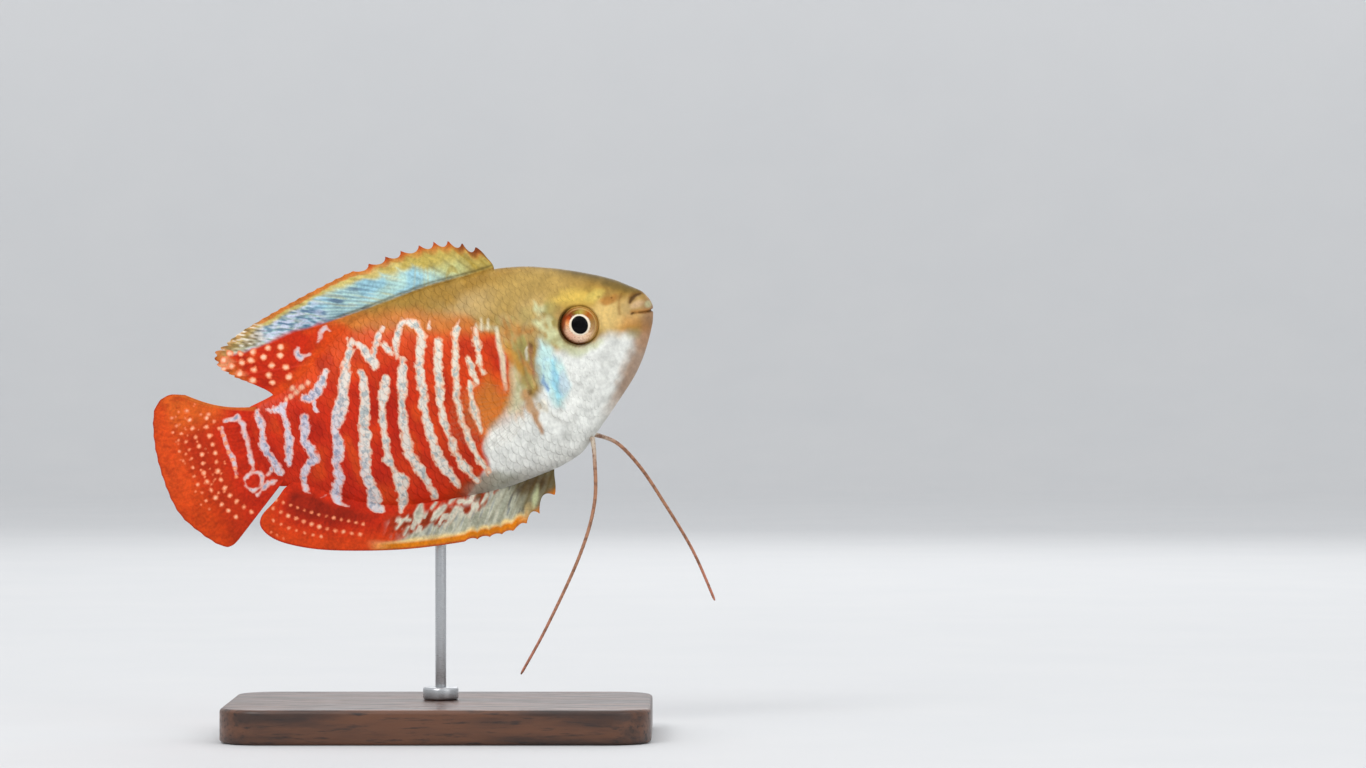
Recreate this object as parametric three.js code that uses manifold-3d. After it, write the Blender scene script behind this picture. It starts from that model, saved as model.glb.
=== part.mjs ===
import * as THREE from 'three';
import { LoftGeometry } from 'three/addons/geometries/LoftGeometry.js';
import { mergeVertices } from 'three/addons/utils/BufferGeometryUtils.js';
import Module from 'manifold-3d';

// Dwarf gourami, an adult male, as a still life-size model on a display stand.
// Millimetres, +Z up. The origin is the middle of the underside of the base.
// The fish looks along +X, and its right side faces -Y.

// In the fish's own frame x runs from the snout (0) back to the tail (negative),
// z goes up through the back, and y goes out to the fish's left side.

// Pose of the fish over the base
const PITCH = THREE.MathUtils.degToRad(21);
const SNOUT = new THREE.Vector3(31.0, 0, 63.2);

// Body, measured back from the tip of the snout
const BODY_LENGTH = 61.6;
const BODY_START = 0.06;
const SNOUT_ROUNDING = 1.0;
const TAIL_ROUNDING = 1.4;
// Share of the section left at the very rear of the body
const TAIL_END_SHARE = 0.55;
// The sections crowd towards the snout, by this power
const SECTION_CROWDING = 1.5;
const BODY_SECTIONS = 30;
const BODY_SIDES = 24;
const THINNEST = 0.05;
const MERGE_DISTANCE = 1e-4;
const GAP = 0.3;
// How far a cutting slab reaches past the body, and the steps along a curved cut
const REACH = 30;
const EDGE_STEPS = 16;

// Back line of the body without its fin: [distance back, height]
const BACK_LINE = [
  [0, 1.5], [2, 3.4], [4, 5.25], [8, 7.95], [12, 10.2], [16, 12.0], [20, 13.1], [26, 13.8],
  [33, 14.3], [40, 14.0], [46, 12.0], [52, 8.9], [57, 7.4], [61.6, 6.9],
];
// Belly line of the body without its fin
const BELLY_LINE = [
  [0, -1.3], [2, -4.4], [4, -7.0], [6, -9.0], [10, -12.0], [14, -14.8], [18, -17.2], [22, -17.8],
  [28, -17.9], [36, -17.0], [44, -15.4], [49, -13.4], [54, -10.0], [58, -6.7], [61.6, -5.3],
];
// Half of the body's width where it is widest
const HALF_WIDTH = [
  [0, 1.3], [2, 2.1], [5, 3.2], [8, 3.9], [12, 4.5], [17, 5.1], [23, 5.5], [30, 5.2],
  [38, 4.4], [46, 3.3], [54, 2.1], [61.6, 1.2],
];
// Height at which the body is widest
const WIDEST_LEVEL = [
  [0, -0.2], [6, -0.8], [14, -1.8], [24, -2.4], [36, -1.2], [50, -0.2], [61.6, 0.8],
];
// How pointed the section is above and below that height: 1 is an ellipse
const BACK_RIDGE = [[0, 0.9], [10, 0.95], [20, 1.15], [40, 1.35], [61.6, 1.1]];
const BELLY_KEEL = [[0, 1.0], [10, 1.15], [20, 0.95], [30, 1.05], [44, 1.3], [61.6, 1.1]];

// Rear edge of the head and gill covers: [height, position along the fish]
const GILL_EDGE = [
  [-24, -10.5], [-15, -14.0], [-11, -17.8], [-6, -19.8], [-1, -20.0], [3, -18.8], [7, -17.0],
  [13, -15.4], [22, -14.6],
];
const TAIL_BASE_FRONT = -54.5;

// Gill cover plates
const COVER_THICKNESS = 1.1;
const COVER_CENTRE = [-16.2, -5.0];
const COVER_STEPS = 20;
const COVER_OUTLINE = [
  [-15.0, 3.6], [-18.6, 3.8], [-21.8, -1.0], [-21.8, -7.0], [-18.6, -12.0], [-14.6, -13.2],
  [-10.8, -10.2], [-12.9, -6.4], [-14.4, -1.6],
];

// Lower jaw, under the cleft of the mouth
const JAW_CENTRE = [-2.0, -5.0];
const JAW_OUTLINE = [[1.6, -0.8], [-3.4, -1.2], [-5.0, -4.2], [-6.2, -12.0], [1.6, -12.0]];

// Eyes: flattened balls, deep in the head
const EYE_PLACE = new THREE.Vector3(-11.1, 2.95, 0.65);
const EYE_RADIUS = 2.95;
const EYE_HALF_DEPTH = 2.15;
const EYE_FACETS = [16, 10];

// Fins: the feet of the rays, inside the body, and the free margin, both front to rear
const FIN_EDGE_THICKNESS = 0.5;
const RAY_RIDGE = 0.25;
const FIN_END = 0.2;
const FIN_RINGS = 3;
const DORSAL = {
  feet: [[-20.4, 11.8], [-28, 12.5], [-36, 12.8], [-43, 12.0], [-49, 9.4], [-53, 7.2], [-55.4, 6.4]],
  margin: [
    [-20.1, 14.6], [-21.2, 16.9], [-24.5, 19.3], [-29, 20.2], [-36, 20.3], [-45, 19.5],
    [-53, 18.4], [-59, 17.3], [-62.7, 16.0], [-62.4, 13.4], [-59.6, 10.5], [-56.8, 8.6],
  ],
  rays: 24,
  spines: 12,
  notch: 1.0,
  footThickness: 1.1,
  bow: [-0.5, 0.5],
};
const ANAL = {
  feet: [
    [-22.6, -16.2], [-30, -16.4], [-38, -15.2], [-46, -13.0], [-51, -10.6], [-55, -7.6], [-57.8, -5.6],
  ],
  margin: [
    [-22.3, -18.2], [-23.4, -21.2], [-26.5, -23.0], [-31, -23.9], [-38, -22.8], [-46, -20.9],
    [-53, -18.5], [-59, -15.9], [-63.4, -13.0], [-65.1, -10.4], [-64.4, -8.6], [-61.4, -7.2],
  ],
  rays: 25,
  spines: 8,
  notch: 0.8,
  footThickness: 1.1,
  bow: [0.4, -0.4],
};
const TAIL = {
  feet: [[-59.4, 6.5], [-60.4, 3.4], [-60.7, 0.6], [-60.4, -2.4], [-59.6, -5.0]],
  margin: [
    [-71.3, 12.7], [-73.6, 11.4], [-75.4, 6.6], [-76.0, 1.0], [-75.6, -4.0], [-73.4, -8.2],
    [-70.2, -11.2],
  ],
  rays: 17,
  spines: 0,
  notch: 0,
  footThickness: 1.5,
  bow: [0.75, 0],
};
const PECTORAL = {
  feet: [[-20.4, -5.4], [-20.3, -7.0], [-20.4, -8.6]],
  margin: [[-27.6, -1.6], [-31.6, -2.6], [-33.6, -5.6], [-33.4, -8.8], [-30.6, -11.4], [-26.4, -11.6]],
  rays: 9,
  spines: 0,
  notch: 0,
  footThickness: 0.9,
  bow: [0, 0],
  side: 4.7,
  spread: 0.2,
};

// Feelers, the thread-like pelvic fins: [along, out from the middle, height]
const FEELER_ROOT_RADIUS = 0.36;
const FEELER_TIP_RADIUS = 0.25;
const FEELER_LENGTHS = ['root', 'middle', 'tip'];
const FEELER_SIDES = 8;
const FEELER_STEPS = 9;
const FEELER_POINT = 0.1;
const RIGHT_FEELER = [
  [-15.2, 1.0, -15.2], [-15.9, 1.5, -18.0], [-18.3, 2.4, -24.3], [-23.0, 3.6, -30.6],
  [-31.0, 4.8, -38.4], [-37.1, 5.4, -43.6],
];
const LEFT_FEELER = [
  [-15.0, 1.0, -14.8], [-12.2, 2.0, -17.3], [-10.3, 2.9, -21.8], [-9.0, 3.9, -27.5],
  [-7.5, 4.9, -36.0], [-7.1, 5.4, -44.2],
];

// Display stand
const BASE = { length: 62, width: 40, height: 5, corner: 6, bevel: 0.6 };
const ROD = { radius: 0.8, x: 0, y: 2.2, foot: 2.3, top: 45.5, sides: 16 };
const COLLAR = { radius: 2.6, height: 1.6, bevel: 0.4 };

// Materials
function finish(colour, roughness, metalness = 0) {
  return new THREE.MeshStandardMaterial({ color: colour, roughness, metalness });
}
const BACK_GOLD = finish(0xb08c3c, 0.4);
const SILVER_CHEEK = finish(0xcdcdc3, 0.35, 0.2);
const RED_FLANK = finish(0xcc3c18, 0.4);
const RED_TAIL = finish(0xd2461a, 0.45);
const BLUE_FIN = finish(0xa9d2dc, 0.45);
const CLEAR_FIN = finish(0xc8b89a, 0.4);
const TAN_FEELER = finish(0xa57355, 0.5);
const COPPER_EYE = finish(0xc07a3e, 0.15);
const DARK_WOOD = finish(0x4a3020, 0.5);
const STEEL = finish(0xb4b6b8, 0.35, 1);

// A smooth line through a few points, without overshoot: returns height for a place
function smoothLine(points) {
  const slope = (i) => (points[i + 1][1] - points[i][1]) / (points[i + 1][0] - points[i][0]);
  const tangents = points.map((point, i) => {
    if (i === 0) return slope(0);
    if (i === points.length - 1) return slope(i - 1);
    const before = slope(i - 1);
    const after = slope(i);
    return before * after <= 0 ? 0 : (2 * before * after) / (before + after);
  });
  return (place) => {
    const last = points.length - 2;
    let i = 0;
    while (i < last && place > points[i + 1][0]) i += 1;
    const span = points[i + 1][0] - points[i][0];
    const t = THREE.MathUtils.clamp((place - points[i][0]) / span, 0, 1);
    const rise = points[i][1] * (2 * t ** 3 - 3 * t ** 2 + 1) + points[i + 1][1] * (3 * t ** 2 - 2 * t ** 3);
    const bend = tangents[i] * (t ** 3 - 2 * t ** 2 + t) + tangents[i + 1] * (t ** 3 - t ** 2);
    return rise + bend * span;
  };
}

const backLine = smoothLine(BACK_LINE);
const bellyLine = smoothLine(BELLY_LINE);
const halfWidth = smoothLine(HALF_WIDTH);
const widestLevel = smoothLine(WIDEST_LEVEL);
const backRidge = smoothLine(BACK_RIDGE);
const bellyKeel = smoothLine(BELLY_KEEL);
const gillEdge = smoothLine(GILL_EDGE);

// Solids
const manifold = await Module();
manifold.setup();

function toSolid(geometry) {
  const bare = new THREE.BufferGeometry().copy(geometry);
  bare.deleteAttribute('normal');
  bare.deleteAttribute('uv');
  const merged = mergeVertices(bare, MERGE_DISTANCE);
  const vertProperties = new Float32Array(merged.attributes.position.array);
  const corners = merged.index.array;
  const triangles = [];
  for (let i = 0; i < corners.length; i += 3) {
    const [a, b, c] = corners.slice(i, i + 3);
    if (a !== b && b !== c && c !== a) triangles.push(a, b, c);
  }
  const triVerts = new Uint32Array(triangles);
  return new manifold.Manifold(new manifold.Mesh({ numProp: 3, vertProperties, triVerts }));
}

function toGeometry(solid) {
  const result = solid.getMesh();
  const geometry = new THREE.BufferGeometry();
  geometry.setAttribute('position', new THREE.BufferAttribute(result.vertProperties, 3));
  geometry.setIndex(new THREE.BufferAttribute(result.triVerts, 1));
  geometry.computeVertexNormals();
  return geometry;
}

// A closed form through sections whose ends are pinched shut, its faces turned outwards
function lofted(sections) {
  const solid = toSolid(new LoftGeometry(sections));
  if (solid.volume() > 0) return solid;
  return toSolid(new LoftGeometry(sections.map((section) => [...section].reverse())));
}

// How far a rounded end has opened, from 0 at its tip to 1 a rounding's length away
function rounding(distance, length) {
  const t = THREE.MathUtils.clamp(distance / length, 0, 1);
  return Math.sqrt(1 - (1 - t) ** 2);
}

// One cross-section of the body, thicker all round by grow
function bodySection(back, grow) {
  const snout = rounding(back, SNOUT_ROUNDING);
  const rear = THREE.MathUtils.lerp(TAIL_END_SHARE, 1, rounding(BODY_LENGTH - back, TAIL_ROUNDING));
  const open = snout * rear;
  const level = widestLevel(back);
  const rise = Math.max((backLine(back) - level) * open + grow, THINNEST);
  const drop = Math.max((level - bellyLine(back)) * open + grow, THINNEST);
  const half = Math.max(halfWidth(back) * open + grow, THINNEST);
  const section = [];
  for (let i = 0; i < BODY_SIDES; i += 1) {
    const angle = (2 * Math.PI * i) / BODY_SIDES;
    const across = Math.cos(angle);
    const up = Math.sin(angle);
    const power = up > 0 ? backRidge(back) : bellyKeel(back);
    const y = -half * Math.sign(across) * Math.abs(across) ** power;
    const z = level + up * (up > 0 ? rise : drop);
    section.push(new THREE.Vector3(-back, y, z));
  }
  return section;
}

// The whole body as one closed form, grown outwards by grow
function bodySolid(grow = 0) {
  const sections = [];
  for (let i = 0; i <= BODY_SECTIONS; i += 1) {
    const share = (i / BODY_SECTIONS) ** SECTION_CROWDING;
    sections.push(bodySection(BODY_START + (BODY_LENGTH - BODY_START) * share, grow));
  }
  if (grow > 0) {
    const front = sections[0].map((point) => point.clone().setX(grow));
    const rear = sections[BODY_SECTIONS].map((point) => point.clone().setX(-BODY_LENGTH - grow));
    sections.unshift(front);
    sections.push(rear);
  }
  return toSolid(new LoftGeometry(sections, { capStart: true, capEnd: true }));
}

// A slab right across the fish, whose outline in side view is given
function sideSlab(outline, from, to) {
  const shape = new THREE.Shape(outline.map(([x, z]) => new THREE.Vector2(x, z)));
  const slab = new THREE.ExtrudeGeometry(shape, { depth: to - from, bevelEnabled: false });
  slab.rotateX(Math.PI / 2);
  slab.translate(0, to, 0);
  return toSolid(slab);
}

// A rounded outline through a few points, each pushed away from the centre by grow
function roundedOutline(points, centre, grow, steps) {
  const pushed = points.map(([x, z]) => {
    const out = new THREE.Vector2(x - centre[0], z - centre[1]);
    out.setLength(out.length() + grow);
    return new THREE.Vector3(out.x + centre[0], out.y + centre[1], 0);
  });
  const curve = new THREE.CatmullRomCurve3(pushed, true);
  return curve.getPoints(steps).slice(0, steps).map((point) => [point.x, point.y]);
}

// The slab between the gill edge, moved by shift, and a plane at x
function slabFromGillEdge(shift, x) {
  const outline = [];
  for (let i = 0; i <= EDGE_STEPS; i += 1) {
    const height = THREE.MathUtils.lerp(GILL_EDGE[0][0], GILL_EDGE.at(-1)[0], i / EDGE_STEPS);
    outline.push([gillEdge(height) + shift, height]);
  }
  outline.push([x, GILL_EDGE.at(-1)[0]], [x, GILL_EDGE[0][0]]);
  return sideSlab(outline, -REACH, REACH);
}

function slabBetween(rear, front) {
  return sideSlab([[rear, -REACH], [front, -REACH], [front, REACH], [rear, REACH]], -REACH, REACH);
}

function eyeBall(side, grow) {
  const ball = new THREE.SphereGeometry(1, EYE_FACETS[0], EYE_FACETS[1]);
  ball.rotateX(Math.PI / 2);
  ball.scale(EYE_RADIUS + grow, EYE_HALF_DEPTH + grow, EYE_RADIUS + grow);
  ball.translate(EYE_PLACE.x, side * EYE_PLACE.y, EYE_PLACE.z);
  return toSolid(ball);
}

// A gill cover: the outer layer of the head within the cover's outline
function gillCoverSpace(side, thickness, grow) {
  const outline = roundedOutline(COVER_OUTLINE, COVER_CENTRE, grow, COVER_STEPS);
  const [from, to] = side > 0 ? [GAP, REACH] : [-REACH, -GAP];
  return sideSlab(outline, from, to).subtract(bodySolid(-thickness));
}

function jawSpace(grow) {
  const outline = JAW_OUTLINE.map(([x, z]) => {
    const out = new THREE.Vector2(x - JAW_CENTRE[0], z - JAW_CENTRE[1]);
    out.setLength(out.length() + grow);
    return [out.x + JAW_CENTRE[0], out.y + JAW_CENTRE[1]];
  });
  return sideSlab(outline, -REACH, REACH);
}

// A fin: a thin fan of rays, thick along each ray and thin between them
function finSolid(fin, side = 0) {
  const feet = new THREE.SplineCurve(fin.feet.map(([x, z]) => new THREE.Vector2(x, z)));
  const margin = new THREE.SplineCurve(fin.margin.map(([x, z]) => new THREE.Vector2(x, z)));
  const steps = 2 * (fin.rays - 1);
  const sections = [];
  for (let i = 0; i <= steps; i += 1) {
    const share = i / steps;
    const foot = feet.getPointAt(share);
    const ray = margin.getPointAt(share).sub(foot);
    const onRay = i % 2 === 0;
    if (!onRay && i < 2 * fin.spines) {
      ray.setLength(ray.length() - fin.notch * (1 - i / (2 * fin.spines)));
    }
    const bow = THREE.MathUtils.lerp(fin.bow[0], fin.bow[1], share);
    const bend = new THREE.Vector2(-ray.y, ray.x).normalize().multiplyScalar(bow);
    const right = [];
    const left = [];
    for (let k = 0; k <= FIN_RINGS; k += 1) {
      const out = k / FIN_RINGS;
      const place = foot.clone().addScaledVector(ray, out).addScaledVector(bend, Math.sin(Math.PI * out));
      const ridge = onRay ? RAY_RIDGE * (1 - out) : 0;
      const half = (THREE.MathUtils.lerp(fin.footThickness, FIN_EDGE_THICKNESS, out) + ridge) / 2;
      const middle = side * ((fin.side ?? 0) + (fin.spread ?? 0) * ray.length() * out);
      right.push(new THREE.Vector3(place.x, middle - half, place.y));
      left.unshift(new THREE.Vector3(place.x, middle + half, place.y));
    }
    sections.push([...right, ...left]);
  }
  sections.unshift(pinchedEnd(sections[0], sections[1]));
  sections.push(pinchedEnd(sections.at(-1), sections.at(-2)));
  return lofted(sections);
}

// The sharp end of a fin: its last section pinched flat, a little further out
function pinchedEnd(section, neighbour) {
  return section.map((point, i) => {
    const opposite = section[section.length - 1 - i];
    const outward = point.clone().sub(neighbour[i]).setY(0).setLength(FIN_END);
    return point.clone().setY((point.y + opposite.y) / 2).add(outward);
  });
}

// One length of a feeler, a tapered thread with rounded ends
function feelerSolid(points, side, part) {
  const path = new THREE.CatmullRomCurve3(
    points.map(([x, out, z]) => new THREE.Vector3(x, side * out, z)),
  );
  const total = path.getLength();
  const trim = (GAP / 2 + FEELER_POINT) / total;
  const first = part / FEELER_LENGTHS.length + trim;
  const last = (part + 1) / FEELER_LENGTHS.length - trim;
  const across = new THREE.Vector3(0, 1, 0);
  const sections = [];
  for (let i = 0; i <= FEELER_STEPS; i += 1) {
    const t = THREE.MathUtils.lerp(first, last, i / FEELER_STEPS);
    const centre = path.getPointAt(t);
    const along = path.getTangentAt(t);
    const normal = new THREE.Vector3().crossVectors(across, along).normalize();
    const binormal = new THREE.Vector3().crossVectors(along, normal);
    const radius = THREE.MathUtils.lerp(FEELER_ROOT_RADIUS, FEELER_TIP_RADIUS, t);
    const ring = [];
    for (let k = 0; k < FEELER_SIDES; k += 1) {
      const angle = (2 * Math.PI * k) / FEELER_SIDES;
      ring.push(centre.clone()
        .addScaledVector(normal, radius * Math.cos(angle))
        .addScaledVector(binormal, -radius * Math.sin(angle)));
    }
    sections.push(ring);
    const point = (out) => ring.map(() => centre.clone().addScaledVector(along, out));
    if (i === 0) sections.unshift(point(-FEELER_POINT));
    if (i === FEELER_STEPS) sections.push(point(FEELER_POINT));
  }
  return lofted(sections);
}

// The base: a flat board with rounded corners, bevelled edges and a hole for the rod
function baseSolid() {
  const x = BASE.length / 2 - BASE.bevel;
  const y = BASE.width / 2 - BASE.bevel;
  const r = BASE.corner;
  const outline = new THREE.Shape();
  outline.moveTo(-x + r, -y);
  outline.lineTo(x - r, -y);
  outline.absarc(x - r, -y + r, r, -Math.PI / 2, 0);
  outline.lineTo(x, y - r);
  outline.absarc(x - r, y - r, r, 0, Math.PI / 2);
  outline.lineTo(-x + r, y);
  outline.absarc(-x + r, y - r, r, Math.PI / 2, Math.PI);
  outline.lineTo(-x, -y + r);
  outline.absarc(-x + r, -y + r, r, Math.PI, 1.5 * Math.PI);
  const board = new THREE.ExtrudeGeometry(outline, {
    depth: BASE.height - 2 * BASE.bevel,
    bevelThickness: BASE.bevel,
    bevelSize: BASE.bevel,
    bevelSegments: 1,
    curveSegments: 4,
  });
  board.translate(0, 0, BASE.bevel);
  const hole = upright(ROD.radius + GAP, ROD.foot - GAP, BASE.height + 1);
  return toSolid(board).subtract(hole);
}

// An upright round bar at the rod's place
function upright(radius, bottom, top) {
  const bar = new THREE.CylinderGeometry(radius, radius, top - bottom, ROD.sides);
  bar.rotateX(Math.PI / 2);
  bar.translate(ROD.x, ROD.y, (bottom + top) / 2);
  return toSolid(bar);
}

function collarSolid() {
  const low = BASE.height + GAP;
  const high = low + COLLAR.height;
  const profile = [
    [0, low], [COLLAR.radius, low], [COLLAR.radius, high - COLLAR.bevel],
    [COLLAR.radius - COLLAR.bevel, high], [0, high],
  ].map(([r, z]) => new THREE.Vector2(r, z));
  const ring = new THREE.LatheGeometry(profile, ROD.sides + 4);
  ring.rotateX(Math.PI / 2);
  ring.translate(ROD.x, ROD.y, 0);
  return toSolid(ring).subtract(upright(ROD.radius + GAP, low - 1, high + 1));
}

const fish = new THREE.Group();
fish.position.copy(SNOUT);
fish.rotation.y = -PITCH;
fish.updateMatrixWorld(true);

// A solid of the stand, turned into the fish's frame to cut its place there
function inFishFrame(solid) {
  return toSolid(toGeometry(solid).applyMatrix4(fish.matrixWorld.clone().invert()));
}

const group = new THREE.Group();
group.add(fish);

function place(parent, name, solid, material) {
  const mesh = new THREE.Mesh(toGeometry(solid), material);
  mesh.name = name;
  parent.add(mesh);
}

const body = bodySolid();
const clearBody = bodySolid(GAP);

// Trunk and tail base, with the hole for the rod
const rodHole = inFishFrame(upright(ROD.radius + GAP, ROD.foot, ROD.top + GAP));
const FAR_BEHIND = -BODY_LENGTH - REACH;
const trunkSlab = slabFromGillEdge(-GAP / 2, TAIL_BASE_FRONT + GAP / 2);
place(fish, 'trunk', body.intersect(trunkSlab).subtract(rodHole), RED_FLANK);
place(fish, 'tail_base', body.intersect(slabBetween(FAR_BEHIND, TAIL_BASE_FRONT - GAP / 2)), RED_FLANK);

// Head with its jaw, gill covers and eyes
const headMass = body.intersect(slabFromGillEdge(GAP / 2, REACH));
let head = headMass.subtract(jawSpace(GAP));
const jaw = headMass.intersect(jawSpace(0));
for (const [side, sideName] of [[1, 'left'], [-1, 'right']]) {
  const cover = headMass.intersect(gillCoverSpace(side, COVER_THICKNESS, 0)).subtract(eyeBall(side, GAP));
  place(fish, `gill_cover_${sideName}`, cover, SILVER_CHEEK);
  place(fish, `eye_${sideName}`, eyeBall(side, 0), COPPER_EYE);
  head = head.subtract(gillCoverSpace(side, COVER_THICKNESS + GAP, GAP)).subtract(eyeBall(side, GAP));
}
place(fish, 'head', head, BACK_GOLD);
place(fish, 'lower_jaw', jaw, SILVER_CHEEK);

// Fins, cut back to the skin of the body
place(fish, 'dorsal_fin', finSolid(DORSAL).subtract(clearBody), BLUE_FIN);
const tailFin = finSolid(TAIL).subtract(clearBody);
const tailSpace = tailFin.add(tailFin.translate([0, 0, -GAP]));
const analFin = finSolid(ANAL).subtract(clearBody).subtract(tailSpace);
place(fish, 'tail_fin', tailFin, RED_TAIL);
place(fish, 'anal_fin', analFin, RED_TAIL);
for (const [side, sideName] of [[1, 'left'], [-1, 'right']]) {
  place(fish, `pectoral_fin_${sideName}`, finSolid(PECTORAL, side).subtract(clearBody), CLEAR_FIN);
}

// Feelers, three lengths each
for (const [side, sideName, points] of [[1, 'left', LEFT_FEELER], [-1, 'right', RIGHT_FEELER]]) {
  FEELER_LENGTHS.forEach((partName, part) => {
    const length = feelerSolid(points, side, part).subtract(clearBody);
    place(fish, `feeler_${sideName}_${partName}`, length, TAN_FEELER);
  });
}

// Stand
place(group, 'stand_base', baseSolid(), DARK_WOOD);
place(group, 'stand_rod', upright(ROD.radius, ROD.foot, ROD.top), STEEL);
place(group, 'stand_collar', collarSolid(), STEEL);

export default group;
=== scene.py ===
import math
import bpy
import numpy as np
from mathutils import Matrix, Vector


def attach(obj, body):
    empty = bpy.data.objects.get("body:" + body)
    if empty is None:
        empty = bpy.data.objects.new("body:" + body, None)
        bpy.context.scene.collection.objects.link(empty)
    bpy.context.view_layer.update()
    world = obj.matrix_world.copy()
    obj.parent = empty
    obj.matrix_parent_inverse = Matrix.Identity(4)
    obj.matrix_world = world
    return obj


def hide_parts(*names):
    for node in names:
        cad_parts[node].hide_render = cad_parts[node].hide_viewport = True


# Dwarf gourami, an adult male, as a still life-size model on a display stand.
# The fish's own frame is in millimetres: u runs forward with the snout at 0,
# v goes up through the back, and the side runs out to the fish's left.

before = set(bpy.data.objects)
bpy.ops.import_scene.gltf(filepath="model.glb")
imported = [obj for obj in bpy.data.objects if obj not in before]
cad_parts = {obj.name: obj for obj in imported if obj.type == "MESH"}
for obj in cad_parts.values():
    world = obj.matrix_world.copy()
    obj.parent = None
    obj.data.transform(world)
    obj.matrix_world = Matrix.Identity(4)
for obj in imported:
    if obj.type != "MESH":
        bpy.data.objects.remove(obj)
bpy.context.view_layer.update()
chance = np.random.default_rng(21)

# Six layers of values that the ripples are smoothed from
RANDOM_TABLE = chance.uniform(-1, 1, (6, 64, 64))

MM = 0.001
PITCH = math.radians(21)
SNOUT = (31.0, 0.0, 63.2)

# Camera, from the photo: the fish is 75 mm and 513 pixels long
PHOTO_SIZE = (1366, 768)
PIXEL = 75 / 513
BASE_PIXEL = (440, 735)
CAMERA_DISTANCE = 749
CAMERA_RISE = 6
SENSOR_WIDTH = 36
LIT_PLACE = (0.0, 0.0, 0.05)

# Body without its fins: (distance back from the snout, value)
BODY_LENGTH = 61.6
SNOUT_ROUNDING = 1.0
TAIL_ROUNDING = 1.4
TAIL_END_SHARE = 0.55
BACK_LINE = [
    (0, 1.5), (2, 3.4), (4, 5.25), (8, 7.95), (12, 10.2), (16, 12.0), (20, 13.1), (26, 13.8),
    (33, 14.3), (40, 14.0), (46, 12.0), (52, 8.9), (57, 7.4), (61.6, 6.9),
]
BELLY_LINE = [
    (0, -1.3), (2, -4.4), (4, -7.0), (6, -9.0), (10, -12.0), (14, -14.8), (18, -17.2), (22, -17.8),
    (28, -17.9), (36, -17.0), (44, -15.4), (49, -13.4), (54, -10.0), (58, -6.7), (61.6, -5.3),
]
HALF_WIDTH = [
    (0, 1.3), (2, 2.1), (5, 3.2), (8, 3.9), (12, 4.5), (17, 5.1), (23, 5.5), (30, 5.2),
    (38, 4.4), (46, 3.3), (54, 2.1), (61.6, 1.2),
]
WIDEST_LEVEL = [
    (0, -0.2), (6, -0.8), (14, -1.8), (24, -2.4), (36, -1.2), (50, -0.2), (61.6, 0.8),
]
BACK_RIDGE = [(0, 0.9), (10, 0.95), (20, 1.15), (40, 1.35), (61.6, 1.1)]
BELLY_KEEL = [(0, 1.0), (10, 1.15), (20, 0.95), (30, 1.05), (44, 1.3), (61.6, 1.1)]
COAT_DEPTH = [(0, 0.03), (7, 0.08), (20, 0.2), (55, 0.2), (61.6, 0.12)]

# Skin mesh: rings from snout to tail, close together over the head
SKIN_RINGS = 376
SKIN_SIDES = 256
RING_PLACES = [(0, 0), (0.03, 0.35), (0.1, 2.6), (0.5, 20.6), (0.58, 25.0), (1, 61.6)]

# Eye
EYE_CENTRE = (-11.1, 0.65)
EYE_OUT = 2.95
EYE_RADIUS = 2.95
EYE_HALF_DEPTH = 2.15
PUPIL_SHIFT = (0.15, 0.06)
# Iris colours round the pupil, by degrees up from the side that looks forward
IRIS_COLOURS = [
    (-180, (232, 190, 156)), (180, (232, 190, 156)), (-150, (240, 188, 158)), (-110, (250, 216, 186)),
    (-70, (246, 208, 168)), (-42, (188, 150, 104)), (-10, (158, 122, 68)), (12, (160, 104, 36)),
    (30, (166, 82, 8)), (46, (172, 122, 42)), (66, (172, 156, 72)), (84, (140, 124, 40)),
    (100, (112, 70, 12)), (114, (122, 40, 4)), (132, (190, 78, 14)), (150, (240, 160, 96)),
]
SOCKET_RADIUS = 2.86
SOCKET_DEPTH = 1.7
EYE_SEGMENTS = 96
EYE_RINGS = 64

# Folds of the head in side view
GAPE = [(0.3, -1.05), (-0.9, -1.02), (-1.9, -0.8), (-2.8, -0.55), (-3.4, -0.42)]
UPPER_LIP = [(-0.4, 0.3), (-1.3, 0.55), (-2.2, 0.5), (-2.9, 0.25)]
LOWER_LIP = [(-0.5, -1.7), (-1.5, -1.6), (-2.5, -1.3), (-3.3, -0.95)]
LIP_FOLD = [(-0.7, 1.8), (-1.6, 1.95), (-2.3, 1.75), (-2.9, 1.25), (-3.2, 0.7)]
MUZZLE_FOLD = [(-3.3, 3.1), (-4.2, 2.5), (-4.85, 1.3), (-5.0, 0.2), (-4.6, -0.9), (-3.9, -1.9)]
NOSTRILS = [((-5.2, 2.75), 0.15), ((-6.9, 3.5), 0.2)]
EYE_BONE = [(-5.4, -0.9), (-6.6, -1.9), (-8.3, -2.9), (-10.2, -3.35), (-12.2, -3.0)]
CHEEK_EDGE = [
    (-13.9, -0.6), (-14.6, -3.4), (-14.8, -6.6), (-13.4, -9.0), (-10.6, -9.6), (-7.2, -8.0), (-4.6, -5.4),
]
THROAT_RAYS = [
    [(-7.6, -9.2), (-10.6, -11.0), (-14.4, -12.0)],
    [(-9.4, -11.0), (-12.2, -12.6), (-15.6, -13.2)],
]
COVER_EDGE = [
    (-14.6, 4.4), (-16.8, 4.5), (-18.7, 3.3), (-19.8, 1.2), (-20.6, -1.4), (-20.9, -4.4),
    (-20.5, -7.4), (-19.3, -10.2), (-17.4, -12.6), (-15.2, -14.2), (-12.6, -14.3),
]
COVER_MIDDLE = (-14.0, -5.0)

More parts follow.
